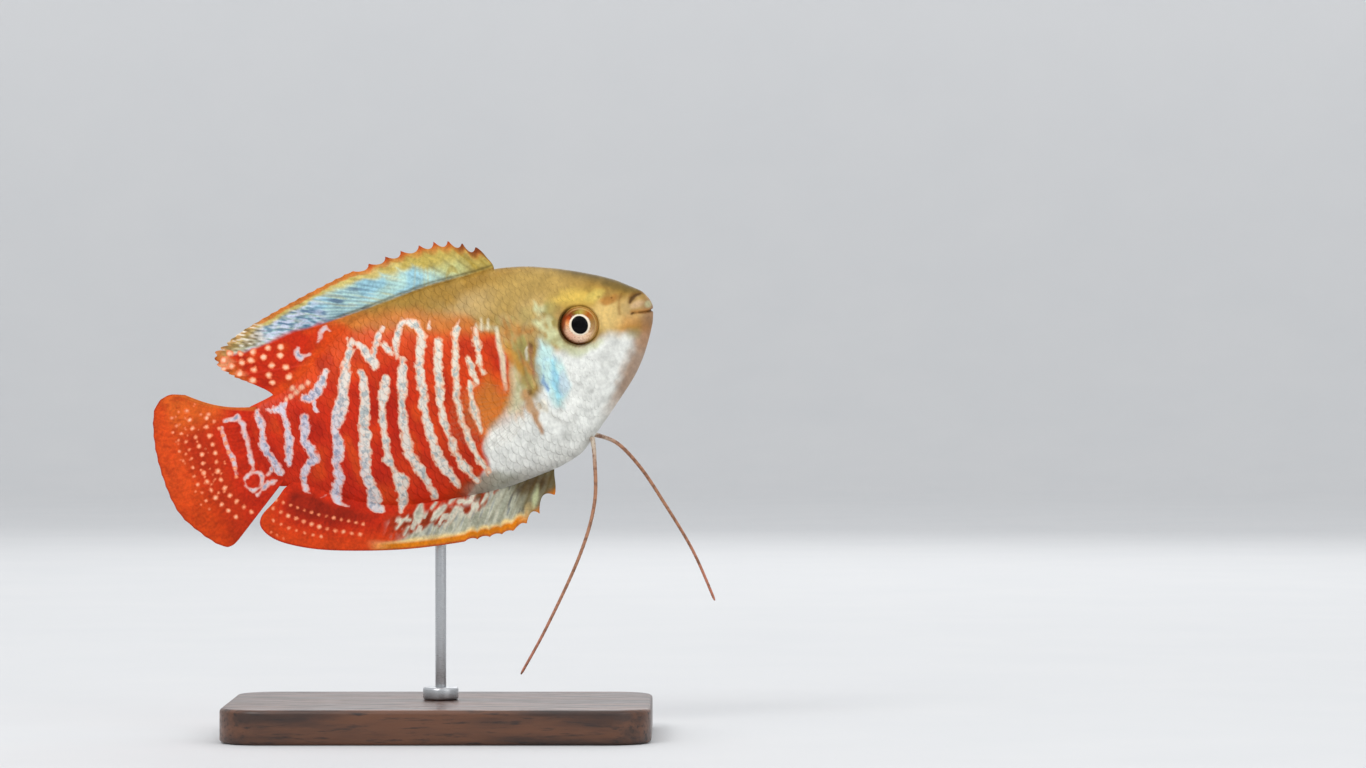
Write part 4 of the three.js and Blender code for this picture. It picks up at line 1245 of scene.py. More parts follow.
def spiny_half(out, rays, from_edge):
    """Half the thickness of the back or belly fin: thin at its margin and ribbed by its rays."""
    return lerp(*SPINY_FIN_HALF, ramp(out, 0, 0.9)) + 0.09 * rays * ramp(from_edge, 0, 0.8)


def fin_piece(name, u, v, middle, half):
    """A closed thin fin: its faces stand half a thickness off the middle, joined at the edges."""
    right = np.stack([u, middle - half, v], axis=-1).reshape(-1, 3)
    left = np.stack([u, middle + half, v], axis=-1).reshape(-1, 3)
    index = np.arange(u.size).reshape(u.shape)
    quads = grid_faces(index)
    border = grid_rim(index)
    other = border + u.size
    walls = np.stack([border, np.roll(border, -1), np.roll(other, -1), other], axis=-1)
    faces = np.concatenate([quads, quads[:, ::-1] + u.size, walls])
    piece = new_object(name, to_frame(np.concatenate([right, left])), faces.tolist())
    turn_outwards(piece)
    return piece


def turn_outwards(piece):
    """Recalculates the piece's normals so that every face points out."""
    pick(piece)
    set_mode("EDIT")
    bpy.ops.mesh.select_all(action="SELECT")
    bpy.ops.mesh.normals_make_consistent(inside=False)
    set_mode("OBJECT")


def twice(values):
    """The same values for a fin's right and left faces."""
    flat = values.reshape(-1, *values.shape[2:])
    return np.concatenate([flat, flat])


def finish_fin(piece, material, paint, bars, dots, node, blue=0.9):
    """Paints both faces of a fin; its bars turn bluish as those of the flank do."""
    marks = np.stack([bars, np.broadcast_to(blue, dots.shape), dots], axis=-1)
    colour_points(piece, "Paint", twice(paint))
    colour_points(piece, "Marks", twice(marks))
    finish_piece(piece, material, "fin", node)


def saw(edge, tips, depth, sharp):
    """How far the margin falls back between neighbouring spine tips."""
    place = -edge[:, 0]
    posts = np.sort(-np.array(tips))
    i = np.clip(np.searchsorted(posts, place) - 1, 0, len(posts) - 2)
    t = (place - posts[i]) / (posts[i + 1] - posts[i])
    inside = (t >= 0) & (t <= 1)
    return np.where(inside, depth * (4 * t * (1 - t)).clip(0) ** sharp, 0)


def band_low(back):
    """Lower edge of the back fin's blue band, along the back."""
    return lerp(13.5, 14.4, ramp(back, 20, 31)) + 0.3 * ramp(back, 38, 50)


def band_paint(u, v, rays, patches, streaks, flecks):
    """The back fin's pale blue band, darker behind, with its olive front end."""
    back = -u
    paint = lay(FIN_BLUE, FIN_SKY, 0.7 * ramp(patches, -0.1, 0.5))
    paint = lay(paint, FIN_YELLOW, 0.35 * ramp(streaks, 0.2, 0.7))
    dark = ramp(back, 36, 41) * fall(v, 17.4, 18.6)
    paint = lay(paint, FIN_SLATE, (0.35 + 0.5 * dark) * ramp(-streaks, 0.15, 0.6) * (0.3 + 0.7 * dark))
    paint = lay(paint, FIN_SLATE, (0.2 + 0.4 * dark) * rays)
    far = ramp(back, 43, 49)
    paint = lay(paint, LAVENDER, 0.75 * far * ramp(flecks, -0.1, 0.35))
    paint = lay(paint, FIN_SLATE, 0.8 * far * ramp(-flecks, 0.15, 0.5))
    front = fall(back - 1.3 * (v - 14.6) + 0.6 * patches, 25.0, 28.4)
    olive = 1 - fall(v, 14.8, 17.6) * ramp(back, 22.2, 25.0)
    return lay_over(paint, [
        (lerp(FIN_LIME, FIN_OLIVE, olive[..., None]), 0.95 * front),
        (FIN_OLIVE, 0.6 * front * ramp(streaks, 0.0, 0.6)),
        (DARK_OLIVE, 0.3 * front * rays),
    ])


def back_margin_paint(paint, u, from_edge, to_tip, patches, streaks):
    """Yellow margin of the back fin, orange behind and at the spine tips in front."""
    back = -u
    steep = ramp(back, 25, 33)
    rear = ramp(back, 36.5, 40)
    width = lerp(3.2, 2.0, ramp(back, 32, 46))
    stray = 0.4 * patches
    yellow = fall(from_edge + stray, width * 0.55, width)
    paint = lay(paint, FIN_YELLOW, (0.4 + 0.5 * ramp(back, 24, 30)) * yellow)
    olive = 0.4 * fall(from_edge, width * 0.5, width)
    paint = lay(paint, FIN_OLIVE, olive * ramp(streaks, 0, 0.5))
    at_tips = hump(to_tip, 1.1) * (1 - rear)
    warm = lerp(1, 0.4 + 0.6 * at_tips, 1 - rear)
    orange = fall(from_edge + stray * 0.5, 0.7, 1.5 - 0.5 * steep)
    return lay_over(paint, [
        (ORANGE, 0.9 * warm * orange),
        (FIN_RUST, (0.8 * rear + 0.2 * (1 - rear)) * fall(from_edge, 0.2, 0.7)),
        (RED_ORANGE, 0.95 * at_tips),
        (RUST, 0.8 * at_tips ** 2),
        (DARK_BROWN, 0.6 * fall(from_edge, 0.3, 1.2) * fall(back, 22.5, 25.5)),
    ])


def rear_lobe_paint(paint, u, v, patches, streaks, flecks):
    """The back fin's red rear lobe under a smoky corner, with orange tips."""
    back = -u
    smoke = ramp(back, 53.5, 56.5) * ramp(v, 14.6, 15.4) * fall(back, 61, 62.5)
    paint = lay_over(paint, [
        (SAND, 0.7 * smoke),
        (DARK_OLIVE, 0.6 * smoke * ramp(-flecks, 0.1, 0.5)),
        (WHITE, 0.8 * smoke * ramp(flecks, 0.2, 0.5)),
    ])
    top = 14.5 - 0.3 * ramp(back, 50, 56)
    lobe = ramp(back, 45, 48) * fall(v + 0.4 * patches, top, 15.1)
    paint = lay_over(paint, [
        (RED, lobe),
        (RED_ORANGE, 0.45 * lobe * ramp(patches, -0.2, 0.6)),
        (DEEP_RED, 0.3 * lobe * fall(v, 8.5, 12) * ramp(back, 52, 56)),
        (DARK_RED, 0.25 * lobe * ramp(back, 53, 56) * ramp(-streaks, 0.2, 0.7)),
    ])
    tips = ramp(back + 0.3 * (15 - v), 59.4, 62.2)
    return lay_over(paint, [
        (ORANGE, 0.75 * tips),
        (DARK_RED, 0.5 * tips * ramp(-streaks, 0.1, 0.5)),
        (PEACH, 0.6 * tips * ramp(streaks, 0.1, 0.6)),
    ])


def make_dorsal_fin(material):
    """Back fin: spines in front, a pale blue band, and a red spotted lobe behind."""
    def notches(edge, share):
        spines = np.where(edge[:, 0] > -39.3, 1.25 - 0.024 * (-edge[:, 0] - 20), 0)
        front = saw(edge, DORSAL_TIPS, 1, 0.75) * spines * (edge[:, 1] > 14.8)
        waves = 0.16 * np.abs(np.sin(edge[:, 0] * math.pi / 1.5))
        return front + waves * (edge[:, 0] < -39.3) * (edge[:, 1] > 15)

    def fray(edge, share):
        rear = ramp(-edge[:, 0], 57.5, 61.5)
        return rear * (0.55 * (1 - np.abs(np.sin(share * 165))) + 0.35 * np.abs(np.sin(share * 61 + 1)))

    u, v, out, from_edge, _ = fin_sheet(
        DORSAL_FEET, DORSAL_MARGIN, SPINY_FIN_GRID, (-0.5, 0.5), notches, fray)
    lines = ray_lines(DORSAL_TIPS, DORSAL_SLOPE, 1.45, DORSAL_MARGIN, 1)
    rays = ray_mask(u, v, lines, RAY_WIDTH)
    middle = 0.22 * out * np.sin(-u * 0.33 + 0.6)
    piece = fin_piece("back_fin", u, v, middle, spiny_half(out, rays, from_edge))
    back = -u
    turned = across_rays(u, v, lerp(58.0, 30.0, ramp(back, 25, 33)))
    streaks = ripple(*turned, (0.34, 2.4), 2)
    flecks = ripple(*turned, (0.26, 0.62), 5)
    patches = ripple(u, v, (2.4, 1.2), 3)
    paint = band_paint(u, v, rays, patches, streaks, flecks)
    paint = back_margin_paint(paint, u, from_edge, from_tips(u, v, lines), patches, streaks)
    low = band_low(back)
    low_edge = 0.75 * hump(v - low, 0.22)
    paint = lay(paint, DARK_OLIVE, low_edge * fall(back, 43, 46))
    below = fall(v, low - 0.4, low - 0.1)
    paint = lerp(paint, body_paint(u, v), below[..., None])
    paint = rear_lobe_paint(paint, u, v, patches, streaks, flecks)
    near_body = fall(v - back_line(back), -0.2, 1.4) * ramp(back, 45, 48)
    paint = lerp(paint, body_paint(u, v), near_body[..., None])
    dots = dots_field(u + 0.15 * patches, v + 0.1 * streaks, DORSAL_DOTS, 1.05)
    finish_fin(piece, material, paint, field(u, v, DORSAL_SQUIGGLES), dots, "dorsal_fin")


# Lower edge of the belly fin's rusty part, by distance back
rust_low = smooth_line([
    (28, -16.2), (31, -17.4), (33, -18.4), (36, -19.0), (40, -19.2), (44, -18.8), (50, -18.2),
])


def belly_front_paint(paint, u, v, rays, patches, streaks, flecks):
    """Grey and cream front of the belly fin, with rusty patches under the body."""
    back = -u
    front = fall(back + 0.6 * patches, 44.5, 49)
    low = rust_low(back)
    pale = front * fall(v + 0.5 * patches + 0.4 * streaks, low - 0.5, low + 0.5)
    pale = np.maximum(pale, fall(back + patches, 29.5, 32.5))
    paint = lay_over(paint, [
        (RUST, 0.75 * front),
        (DARK_RED, 0.5 * front * ramp(flecks, 0.0, 0.5)),
        (DARK_OLIVE, 0.6 * front * ramp(-streaks, 0.0, 0.5) * fall(back, 38, 44)),
    ])
    cream = 0.85 * front * ramp(-flecks, 0.1, 0.35)
    paint = lay_over(paint, [
        (FLECK_CREAM, cream * fall(v, -16.4, -15.6)),
        (GREY_CREAM, pale),
        (GREY_GREEN, 0.8 * pale * fall(back, 27, 33)),
        (GREY_GREEN, 0.75 * pale * ramp(streaks, 0, 0.5)),
        (DARK_OLIVE, 0.6 * pale * ramp(-streaks, 0.15, 0.6) * fall(back, 29, 33)),
        (FIN_SLATE, 0.35 * pale * ramp(-streaks, 0.2, 0.7)),
        (DARK_OLIVE, 0.7 * pale * fall(back + 0.5 * patches, 27, 30)),
        (DARK_OLIVE, (0.25 + 0.35 * fall(back, 26, 31)) * rays * pale),
    ])
    green = [(-25.2, -18.9, 0.4), (-26.2, -20.6, 0.9), (-26.9, -21.8, 0.4)]
    paint = lay_marks(paint, u, v, [(PALE_GREEN, 0.7, 0.6, green)])
    paint = lay(paint, DARK_BROWN, 0.6 * pale * spot(u, v, (-25.6, -18.6), (3.0, 0.9), 0.6))
    return lay(paint, DARK_OLIVE, 0.7 * fall(back + 0.5 * (v + 20), 22.6, 24.6))


def amber_paint(paint, u, from_edge, to_tip, patches):
    """Amber margin of the belly fin, at the ray tips only in front, and red behind."""
    back = -u
    front = fall(back, 48.0, 52)
    at_tips = lerp(hump(to_tip, 0.8), 1, ramp(back, 27.5, 30))
    cream = 0.9 * fall(from_edge + 0.25 * patches, 1.1, 1.9)
    return lay_over(paint, [
        (CREAM_YELLOW, cream * front * ramp(back, 26, 30)),
        (AMBER, fall(from_edge, 0.85, 1.35) * front * at_tips),
        (FIN_RUST, 0.8 * fall(from_edge, 0.2, 0.55) * front * at_tips),
        (DEEP_RED, 0.6 * fall(from_edge, 0.1, 0.35) * ramp(back, 30, 40)),
    ])


def make_anal_fin(material):
    """Belly fin: grey green in front with an amber margin, red and spotted behind."""
    def notches(edge, share):
        front = np.where(edge[:, 0] > -31, 1.9 - 0.22 * (-edge[:, 0] - 23.4), 0.32)
        depth = saw(edge, ANAL_TIPS, 1, 0.8) * np.clip(front, 0.25, None) * (edge[:, 0] < -23.4)
        return depth * (edge[:, 1] < -17)

    u, v, out, from_edge, _ = fin_sheet(ANAL_FEET, ANAL_MARGIN, SPINY_FIN_GRID, (0.4, -0.4), notches)
    lines = ray_lines(ANAL_TIPS, ANAL_SLOPE, 1.4, ANAL_MARGIN, -1)
    rays = ray_mask(u, v, lines, RAY_WIDTH)
    piece = fin_piece("belly_fin", u, v, 0.2 * out * np.sin(-u * 0.3), spiny_half(out, rays, from_edge))
    back = -u
    turned = across_rays(u, v, -48)
    streaks = ripple(*turned, (0.36, 1.8), 2)
    flecks = ripple(*turned, (0.6, 1.0), 5)
    patches = ripple(u, v, (1.5, 1.1), 3)
    paint = lay(RED, RED_ORANGE, 0.5 * fall(from_edge, 0.6, 5))
    paint = lay(paint, DARK_RED, 0.6 * ramp(from_edge, 3.4, 6.2) * ramp(back, 48, 53))
    paint = lay(paint, DARK_RED, 0.3 * ramp(-streaks, 0.1, 0.7) * ramp(from_edge, 2, 4))
    paint = belly_front_paint(paint, u, v, rays, patches, streaks, flecks)
    paint = amber_paint(paint, u, from_edge, from_tips(u, v, lines), patches)
    near_body = fall(belly_line(back) - v, 0.3, 1.4)
    paint = lerp(paint, body_paint(u, v), (near_body * ramp(back, 33, 38))[..., None])
    marks = field(u + 0.12 * patches, v + 0.2 * streaks, ANAL_FLECKS, 1.1)
    paint = lay_over(paint, [
        (PEACH_CREAM, 0.25 * ramp(marks, 0.36, 0.48)),
        (FLECK_CREAM, 0.9 * ramp(marks, 0.46, 0.58)),
        (GREY_GREEN, 0.45 * ramp(marks, 0.6, 0.72)),
    ])
    bars = body_marks(u, v)[..., 0] * near_body
    dots = dot_rows_field(u, v, ANAL_DOT_ROWS)
    blue = lerp(0.3, 0.9, ramp(back, 44, 52))
    finish_fin(piece, material, paint, bars, dots, "anal_fin", blue)


def make_tail_fin(material):
    """Tail fin: a red fan with arcs of pale dots and a plain orange border."""
    def scallops(edge, share):
        return 0.1 * np.abs(np.sin(share * math.pi * TAIL_RAYS))

    u, v, out, from_edge, share = fin_sheet(TAIL_FEET, TAIL_MARGIN, TAIL_FIN_GRID, (0.75, 0), scallops)
    rays = forked_rays(share, TAIL_RAYS, ramp(out, 0.35, 0.7), 0.16, 0.25, 0.12)
    half = lerp(*TAIL_FIN_HALF, ramp(out, 0, 0.85)) + 0.03 * rays * ramp(from_edge, 0, 1.5)
    piece = fin_piece("tail_fan", u, v, 0.2 * out * np.sin(share * 7), half)
    back = -u
    patches = ripple(u, v, (2.0, 2.0), 3)
    grains = ripple(u, v, (0.5, 0.35), 4)
    upper = ramp(v, 5.0, 9.0) * fall(back, 71, 73) * ramp(back, 62, 66)
    upper_edge = fall(share, 0.02, 0.07) * fall(back, 68, 71)
    paint = lay_over(RED, [
        (DEEP_RED, 0.5 * fall(back, 63, 66) * ramp(grains, -0.2, 0.6)),
        (TAIL_RED, 0.8 * ramp(back, 65.5, 67.5)),
        (TAIL_ORANGE, 0.85 * ramp(back + 0.4 * patches, 70.2, 72.6)),
        (TAIL_LOW_RED, 0.7 * ramp(back, 68, 71) * fall(v, -6, 1)),
        (TAIL_UPPER_ORANGE, 0.75 * upper),
        (TAIL_GRAIN_RED, 0.4 * ramp(grains, 0.1, 0.7) * ramp(back, 66, 68)),
        (ORANGE, 0.6 * upper_edge),
        (TAIL_MARGIN_RED, 0.5 * fall(from_edge, 0.05, 0.35)),
        (TAIL_RAY_RED, 0.1 * rays * ramp(back, 63, 66)),
    ])
    bars = field(u, v, TAIL_LINES + BARS[:1], 0.8)
    specks = np.stack([chance.uniform(-72.6, -66.6, 46), chance.uniform(-4.0, 10.2, 46)], axis=1)
    dots = np.maximum(dots_field(u, v, specks, 0.3), dot_rows_field(u, v, TAIL_DOT_ARCS))
    finish_fin(piece, material, paint, bars, dots, "tail_fin")


def make_pectoral_fin(material, name, side):
    """Side fin: a thin clear fan behind the gill cover."""
    def scallops(edge, share):
        return 0.25 * np.abs(np.sin(share * math.pi * 9))

    u, v, out, _, share = fin_sheet(
        PECTORAL_FEET, PECTORAL_MARGIN, SIDE_FIN_GRID, (0.2, -0.2), scallops)
    rays = forked_rays(share, SIDE_FIN_RAYS, ramp(out, 0.3, 0.6), 0.14, 0.24, 0.1)
    half = lerp(*SIDE_FIN_HALF, ramp(out, 0, 0.6)) + 0.05 * rays * (1 - out)
    reach = np.hypot(u - u[:, :1], v - v[:, :1])
    middle = side * (PECTORAL_OUT + PECTORAL_SPREAD * reach + 0.12 * out * np.sin(share * 12))
    piece = fin_piece("side_fin_" + name, u, v, middle, half)
    paint = lay(CLEAR_TAN, CLAY, 0.7 * rays)
    clear = 0.004 + 0.09 * rays * (1 - 0.5 * out) + 0.35 * fall(out, 0.0, 0.12)
    colour_points(piece, "Paint", twice(paint))
    colour_points(piece, "Marks", twice(np.clip(clear, 0, 1)[..., None]))
    finish_piece(piece, material, "clear_fin", "pectoral_fin_" + name)


# Eyes, feelers and stand


def make_eye(material, name, side):
    """One eyeball: a flattened glossy ball whose face carries the pupil and iris."""
    eye, (x, y, z) = add_ball("eyeball_" + name, EYE_SEGMENTS, EYE_RINGS)
    u = EYE_CENTRE[0] + x * EYE_RADIUS
    v = EYE_CENTRE[1] - side * y * EYE_RADIUS
    out = side * (EYE_OUT + z * EYE_HALF_DEPTH)
    shape_ball(eye, np.stack([u, out, v], axis=1))
    for layer in list(eye.data.uv_layers):
        eye.data.uv_layers.remove(layer)
    map_points(eye, "Face", np.stack([x / 2 + 0.5, -side * y / 2 + 0.5], axis=1))
    turn_outwards(eye)
    finish_piece(eye, material, "eye", "eye_" + name)


def make_feeler(material, name, side, points):
    """One feeler: a single tapered thread in place of its three lengths."""
    share = np.linspace(0, 1, FEELER_STEPS + 1)
    path = spline_at([(along, side * out, up) for along, out, up in points], share)
    tangent = np.gradient(path, axis=0)
    tangent /= np.linalg.norm(tangent, axis=1)[:, None]
    first = np.cross((0, 1, 0), tangent)
    first /= np.linalg.norm(first, axis=1)[:, None]
    second = np.cross(tangent, first)
    # Thicker at its root, finely ringed, and rounded off at its tip
    radius = lerp(*FEELER_RADII, share) * (0.8 + 0.35 * np.exp(-share / 0.03))
    tip = np.sqrt(np.clip((1.004 - share) / 0.02, 0.05, 1))
    radius = radius * (1 + 0.035 * np.sin(share * 260)) * tip
    turn = np.linspace(0, 2 * math.pi, FEELER_SIDES, endpoint=False)[None, :, None]
    ring = first[:, None] * np.cos(turn) + second[:, None] * np.sin(turn)
    places = (path[:, None] + ring * radius[:, None, None]).reshape(-1, 3)
    index = np.arange(len(places)).reshape(-1, FEELER_SIDES)
    after = np.roll(index, -1, axis=1)
    quads = np.stack([index[:-1], after[:-1], after[1:], index[1:]], axis=-1).reshape(-1, 4).tolist()
    faces = quads + [index[0].tolist(), index[-1].tolist()]
    piece = new_object("feeler_thread_" + name, to_frame(places), faces)
    turn_outwards(piece)
    colour_points(piece, "Paint", np.repeat(share[:, None], FEELER_SIDES, axis=0))
    nodes = [f"feeler_{name}_{part}" for part in ("root", "middle", "tip")]
    finish_piece(piece, material, "feeler", *nodes)


def apply_place(piece):
    """Puts the piece's place, turn and size into its mesh."""
    pick(piece)
    bpy.ops.object.transform_apply(location=True, rotation=True, scale=True)


def add_bevel(piece, width, segments):
    """Rounds the piece's sharp edges."""
    bevel = piece.modifiers.new("Bevel", "BEVEL")
    bevel.width = width * MM
    bevel.segments = segments
    bevel.limit_method = "ANGLE"
    bpy.context.view_layer.objects.active = piece
    bpy.ops.object.modifier_apply(modifier=bevel.name)


def make_stand(wood, steel):
    """The display stand: a flat wooden base with round corners, a steel rod and its collar."""
    deselect()
    length, width, height = (value * MM for value in BASE_SIZE)
    bpy.ops.mesh.primitive_cube_add(size=1, location=(0, 0, height / 2), scale=(length, width, height))
    base = bpy.context.object
    base.name = "display_base"
    apply_place(base)
    set_mode("EDIT")
    bpy.ops.mesh.select_mode(type="EDGE")
    bpy.ops.mesh.select_all(action="DESELECT")
    set_mode("OBJECT")
    for edge in base.data.edges:
        start, end = (base.data.vertices[i].co for i in edge.vertices)
        edge.select = abs(start.z - end.z) > height / 2
    set_mode("EDIT")
    bpy.ops.mesh.bevel(offset=BASE_CORNER * MM, segments=10)
    set_mode("OBJECT")
    add_bevel(base, BASE_BEVEL, 4)
    bpy.ops.object.shade_smooth_by_angle(angle=math.radians(30))
    finish_piece(base, wood, "stand_wood", "stand_base")
    make_bar("display_rod", steel, ROD["radius"], ROD["foot"], ROD["top"], 0.12, "stand_rod")
    make_bar("display_collar", steel, COLLAR["radius"], COLLAR["low"] - 0.3, COLLAR["high"],
             COLLAR["bevel"], "stand_collar")


def make_bar(name, steel, radius, low, high, bevel, node):
    """A round steel piece of the stand, from its low end to its high end."""
    deselect()
    place = (ROD["x"] * MM, ROD["y"] * MM, (low + high) / 2 * MM)
    bpy.ops.mesh.primitive_cylinder_add(
        vertices=64, radius=radius * MM, depth=(high - low) * MM, location=place)
    bar = bpy.context.object
    bar.name = name
    apply_place(bar)
    add_bevel(bar, bevel, 3)
    bpy.ops.object.shade_smooth_by_angle(angle=math.radians(30))
    finish_piece(bar, steel, "stand_steel", node)


# Materials


def feed(tree, socket, value):
    """Links a socket to another one, or sets its value."""
    if isinstance(value, bpy.types.NodeSocket):
        tree.links.new(value, socket)
    else:
        socket.default_value = value


def add_node(tree, kind, inputs, **settings):
    """A shader node with its settings made and its inputs set or linked."""
    node = tree.nodes.new(kind)
    for name, value in settings.items():
        setattr(node, name, value)
    for key, value in inputs.items():
        feed(tree, node.inputs[key], value)
    return node


def mix(tree, factor, first, second):
    """A mix of two colours."""
    inputs = {0: factor, 6: first, 7: second}
    return add_node(tree, "ShaderNodeMix", inputs, data_type="RGBA").outputs[2]


def reckon(tree, kind, *values):
    """One step of arithmetic on values."""
    return add_node(tree, "ShaderNodeMath", dict(enumerate(values)), operation=kind).outputs[0]


def times(tree, first, second):
    """The product of two values."""
    return reckon(tree, "MULTIPLY", first, second)


def vector_step(tree, kind, inputs):
    """One step of arithmetic on vectors."""
    return add_node(tree, "ShaderNodeVectorMath", inputs, operation=kind).outputs


def between(tree, value, low, high, start=0.0, end=1.0):
    """Smooth steps from start at low to end at high."""
    inputs = {"Value": value, "From Min": low, "From Max": high, "To Min": start, "To Max": end}
    node = add_node(tree, "ShaderNodeMapRange", inputs, interpolation_type="SMOOTHSTEP")
    return node.outputs[0]


def between_even(tree, value, low, high):
    """Even steps from 0 at low to 1 at high."""
    inputs = {"Value": value, "From Min": low, "From Max": high}
    return add_node(tree, "ShaderNodeMapRange", inputs).outputs[0]


def attribute(tree, name):
    """The three values kept under this name, and the colour itself."""
    source = add_node(tree, "ShaderNodeAttribute", {}, attribute_name=name)
    parts = add_node(tree, "ShaderNodeSeparateColor", {"Color": source.outputs["Color"]})
    return source.outputs["Color"], parts.outputs


def noise(tree, vector, scale, detail=3.0, roughness=0.55):
    """Smooth noise around 0.5."""
    inputs = {"Vector": vector, "Scale": scale, "Detail": detail, "Roughness": roughness}
    return add_node(tree, "ShaderNodeTexNoise", inputs).outputs[0]


# Kinds of the groups' inputs and outputs; all others are single values
SOCKET_KINDS = {"Colour": "Color", "Ground": "Color", "Place": "Vector"}


def new_group(name, inputs, outputs):
    """A node group with named inputs and outputs; gives the tree and both ends."""
    tree = bpy.data.node_groups.new(name, "ShaderNodeTree")
    for names, way in ((inputs, "INPUT"), (outputs, "OUTPUT")):
        for socket in names:
            kind = "NodeSocket" + SOCKET_KINDS.get(socket, "Float")
            tree.interface.new_socket(socket, in_out=way, socket_type=kind)
    return tree, tree.nodes.new("NodeGroupInput").outputs, tree.nodes.new("NodeGroupOutput").inputs


def use_group(tree, group, inputs):
    """A node group at work in a material, with that material's own values."""
    node = tree.nodes.new("ShaderNodeGroup")
    node.node_tree = group
    for key, value in inputs.items():
        feed(tree, node.inputs[key], value)
    return node.outputs


def mottle_group():
    """Breaks a colour up with soft patches and fine dark grains."""
    tree, given, result = new_group("Mottle", ["Colour", "Place", "Patches", "Grains"], ["Colour"])
    soft = noise(tree, given["Place"], 420, 3)
    fine = noise(tree, given["Place"], 2600, 2)
    bright = between(tree, soft, 0.25, 0.75, -1, 1)
    gain = reckon(tree, "MULTIPLY_ADD", bright, given["Patches"], 1.0)
    dark = between(tree, fine, 0.3, 0.7, -1, 1)
    gain = reckon(tree, "MULTIPLY_ADD", dark, given["Grains"], gain)
    scaled = vector_step(tree, "SCALE", {0: given["Colour"], "Scale": gain})
    feed(tree, result["Colour"], scaled[0])
    return tree


def bars_group():
    """Turns the kept bar values into crisp, slightly ragged bars with a bluish core."""
    tree, given, result = new_group(
        "Pale Bars", ["Ground", "Place", "Bar", "Blue", "Shift", "Ragged"], ["Colour"])
    place, blue = given["Place"], given["Blue"]
    lobes = between(tree, noise(tree, place, 620, 1), 0.25, 0.75, -0.11, 0.11)
    rag = between(tree, noise(tree, place, 1500, 2), 0.25, 0.75, -0.06, 0.06)
    uneven = times(tree, reckon(tree, "ADD", rag, lobes), given["Ragged"])
    edge = reckon(tree, "ADD", reckon(tree, "ADD", given["Bar"], uneven), given["Shift"])
    speck = between(tree, noise(tree, place, 1150, 3), 0.46, 0.62)
    warm = between(tree, noise(tree, place, 1900, 2), 0.56, 0.7)
    rim = mix(tree, blue, *BAR_RIMS)
    core = mix(tree, blue, *BAR_CORES)
    core = mix(tree, times(tree, speck, 0.8), core, mix(tree, blue, *BAR_SPECKS))
    core = mix(tree, times(tree, warm, 0.55), core, rim)
    bar = mix(tree, between(tree, edge, 0.52, 0.68), rim, core)
    feed(tree, result["Colour"], mix(tree, between(tree, edge, 0.41, 0.57), given["Ground"], bar))
    return tree


def plate_group():
    """Scale by scale shading: a dark rim, painted shade towards the root where the scale ahead overlaps,
    which leaves a paler middle, and fine growth lines.
    """
    tree, given, result = new_group(
        "Scale Shading", ["Colour", "Along", "Tone", "Rim"], ["Colour", "Height"])
    rim = times(tree, between(tree, given["Along"], 0.9, 1.0), given["Rim"])
    # Painted shade: darker towards the root, just behind the tip of the scale ahead that overlaps it
    root = times(tree, between(tree, given["Along"], 0.62, 0.3), 0.08)
    tone = between(tree, given["Tone"], 0, 1, -0.04, 0.04)
    dark = reckon(tree, "ADD", reckon(tree, "ADD", rim, root), tone)
    gain = reckon(tree, "SUBTRACT", 1.02, dark)
    scaled = vector_step(tree, "SCALE", {0: given["Colour"], "Scale": gain})
    feed(tree, result["Colour"], scaled[0])
    feed(tree, result["Height"], reckon(tree, "SINE", times(tree, given["Along"], 60)))
    return tree


def new_material(name, **values):
    """A material with its principled shader, object coordinates at hand."""
    material = bpy.data.materials.new(name)
    material.use_nodes = True
    tree = material.node_tree
    shader = tree.nodes["Principled BSDF"]
    for key, value in values.items():
        shader.inputs[key.replace("_", " ")].default_value = value
    place = tree.nodes.new("ShaderNodeTexCoord").outputs["Object"]
    return material, tree, shader, place


def add_bump(tree, shader, height, strength, distance):
    """Feeds the shader's normal with this relief; the distance is in millimetres."""
    inputs = {"Height": height, "Strength": strength, "Distance": distance * MM}
    feed(tree, shader.inputs["Normal"], add_node(tree, "ShaderNodeBump", inputs).outputs[0])


def barred_colour(tree, groups, place, patches, grains, ragged, shift):
    """The kept ground colour, mottled and barred, and the kept marks."""
    paint, _ = attribute(tree, "Paint")
    _, marks = attribute(tree, "Marks")
    ground = use_group(tree, groups["mottle"], {
        "Colour": paint, "Place": place, "Patches": patches, "Grains": grains})
    bars = use_group(tree, groups["bars"], {
        "Ground": ground[0], "Place": place, "Bar": marks[0], "Blue": marks[1], "Shift": shift,
        "Ragged": ragged})
    return bars["Colour"], marks


def skin_material(groups, name, plates):
    """Moist skin, or the scales over it, with a silvery shine on the belly."""
    material, tree, shader, place = new_material(
        name, Roughness=0.42, Coat_Weight=0.03, Coat_Roughness=0.15, Specular_IOR_Level=0.14)
    shift = 0.0
    if plates:
        _, plate = attribute(tree, "Plate")
        shift = between(tree, plate[0], 0.3, 1.0, 0.06, -0.06)
    colour, marks = barred_colour(tree, groups, place, 0.1, 0.06, 1.0, shift)
    grain = noise(tree, place, 1500, 3)
    height = grain
    if plates:
        shaded = use_group(tree, groups["plates"], {
            "Colour": colour, "Along": plate[0], "Tone": plate[1], "Rim": 0.1})
        colour = shaded["Colour"]
        height = reckon(tree, "MULTIPLY_ADD", shaded["Height"], 0.12, grain)
    feed(tree, shader.inputs["Base Color"], colour)
    feed(tree, shader.inputs["Metallic"], times(tree, marks[2], 0.12))
    uneven = between(tree, grain, 0.3, 0.7, -1, 1)
    feed(tree, shader.inputs["Roughness"], reckon(tree, "MULTIPLY_ADD", uneven, 0.06, 0.42))
    add_bump(tree, shader, height, 0.28, 0.05)
    return material


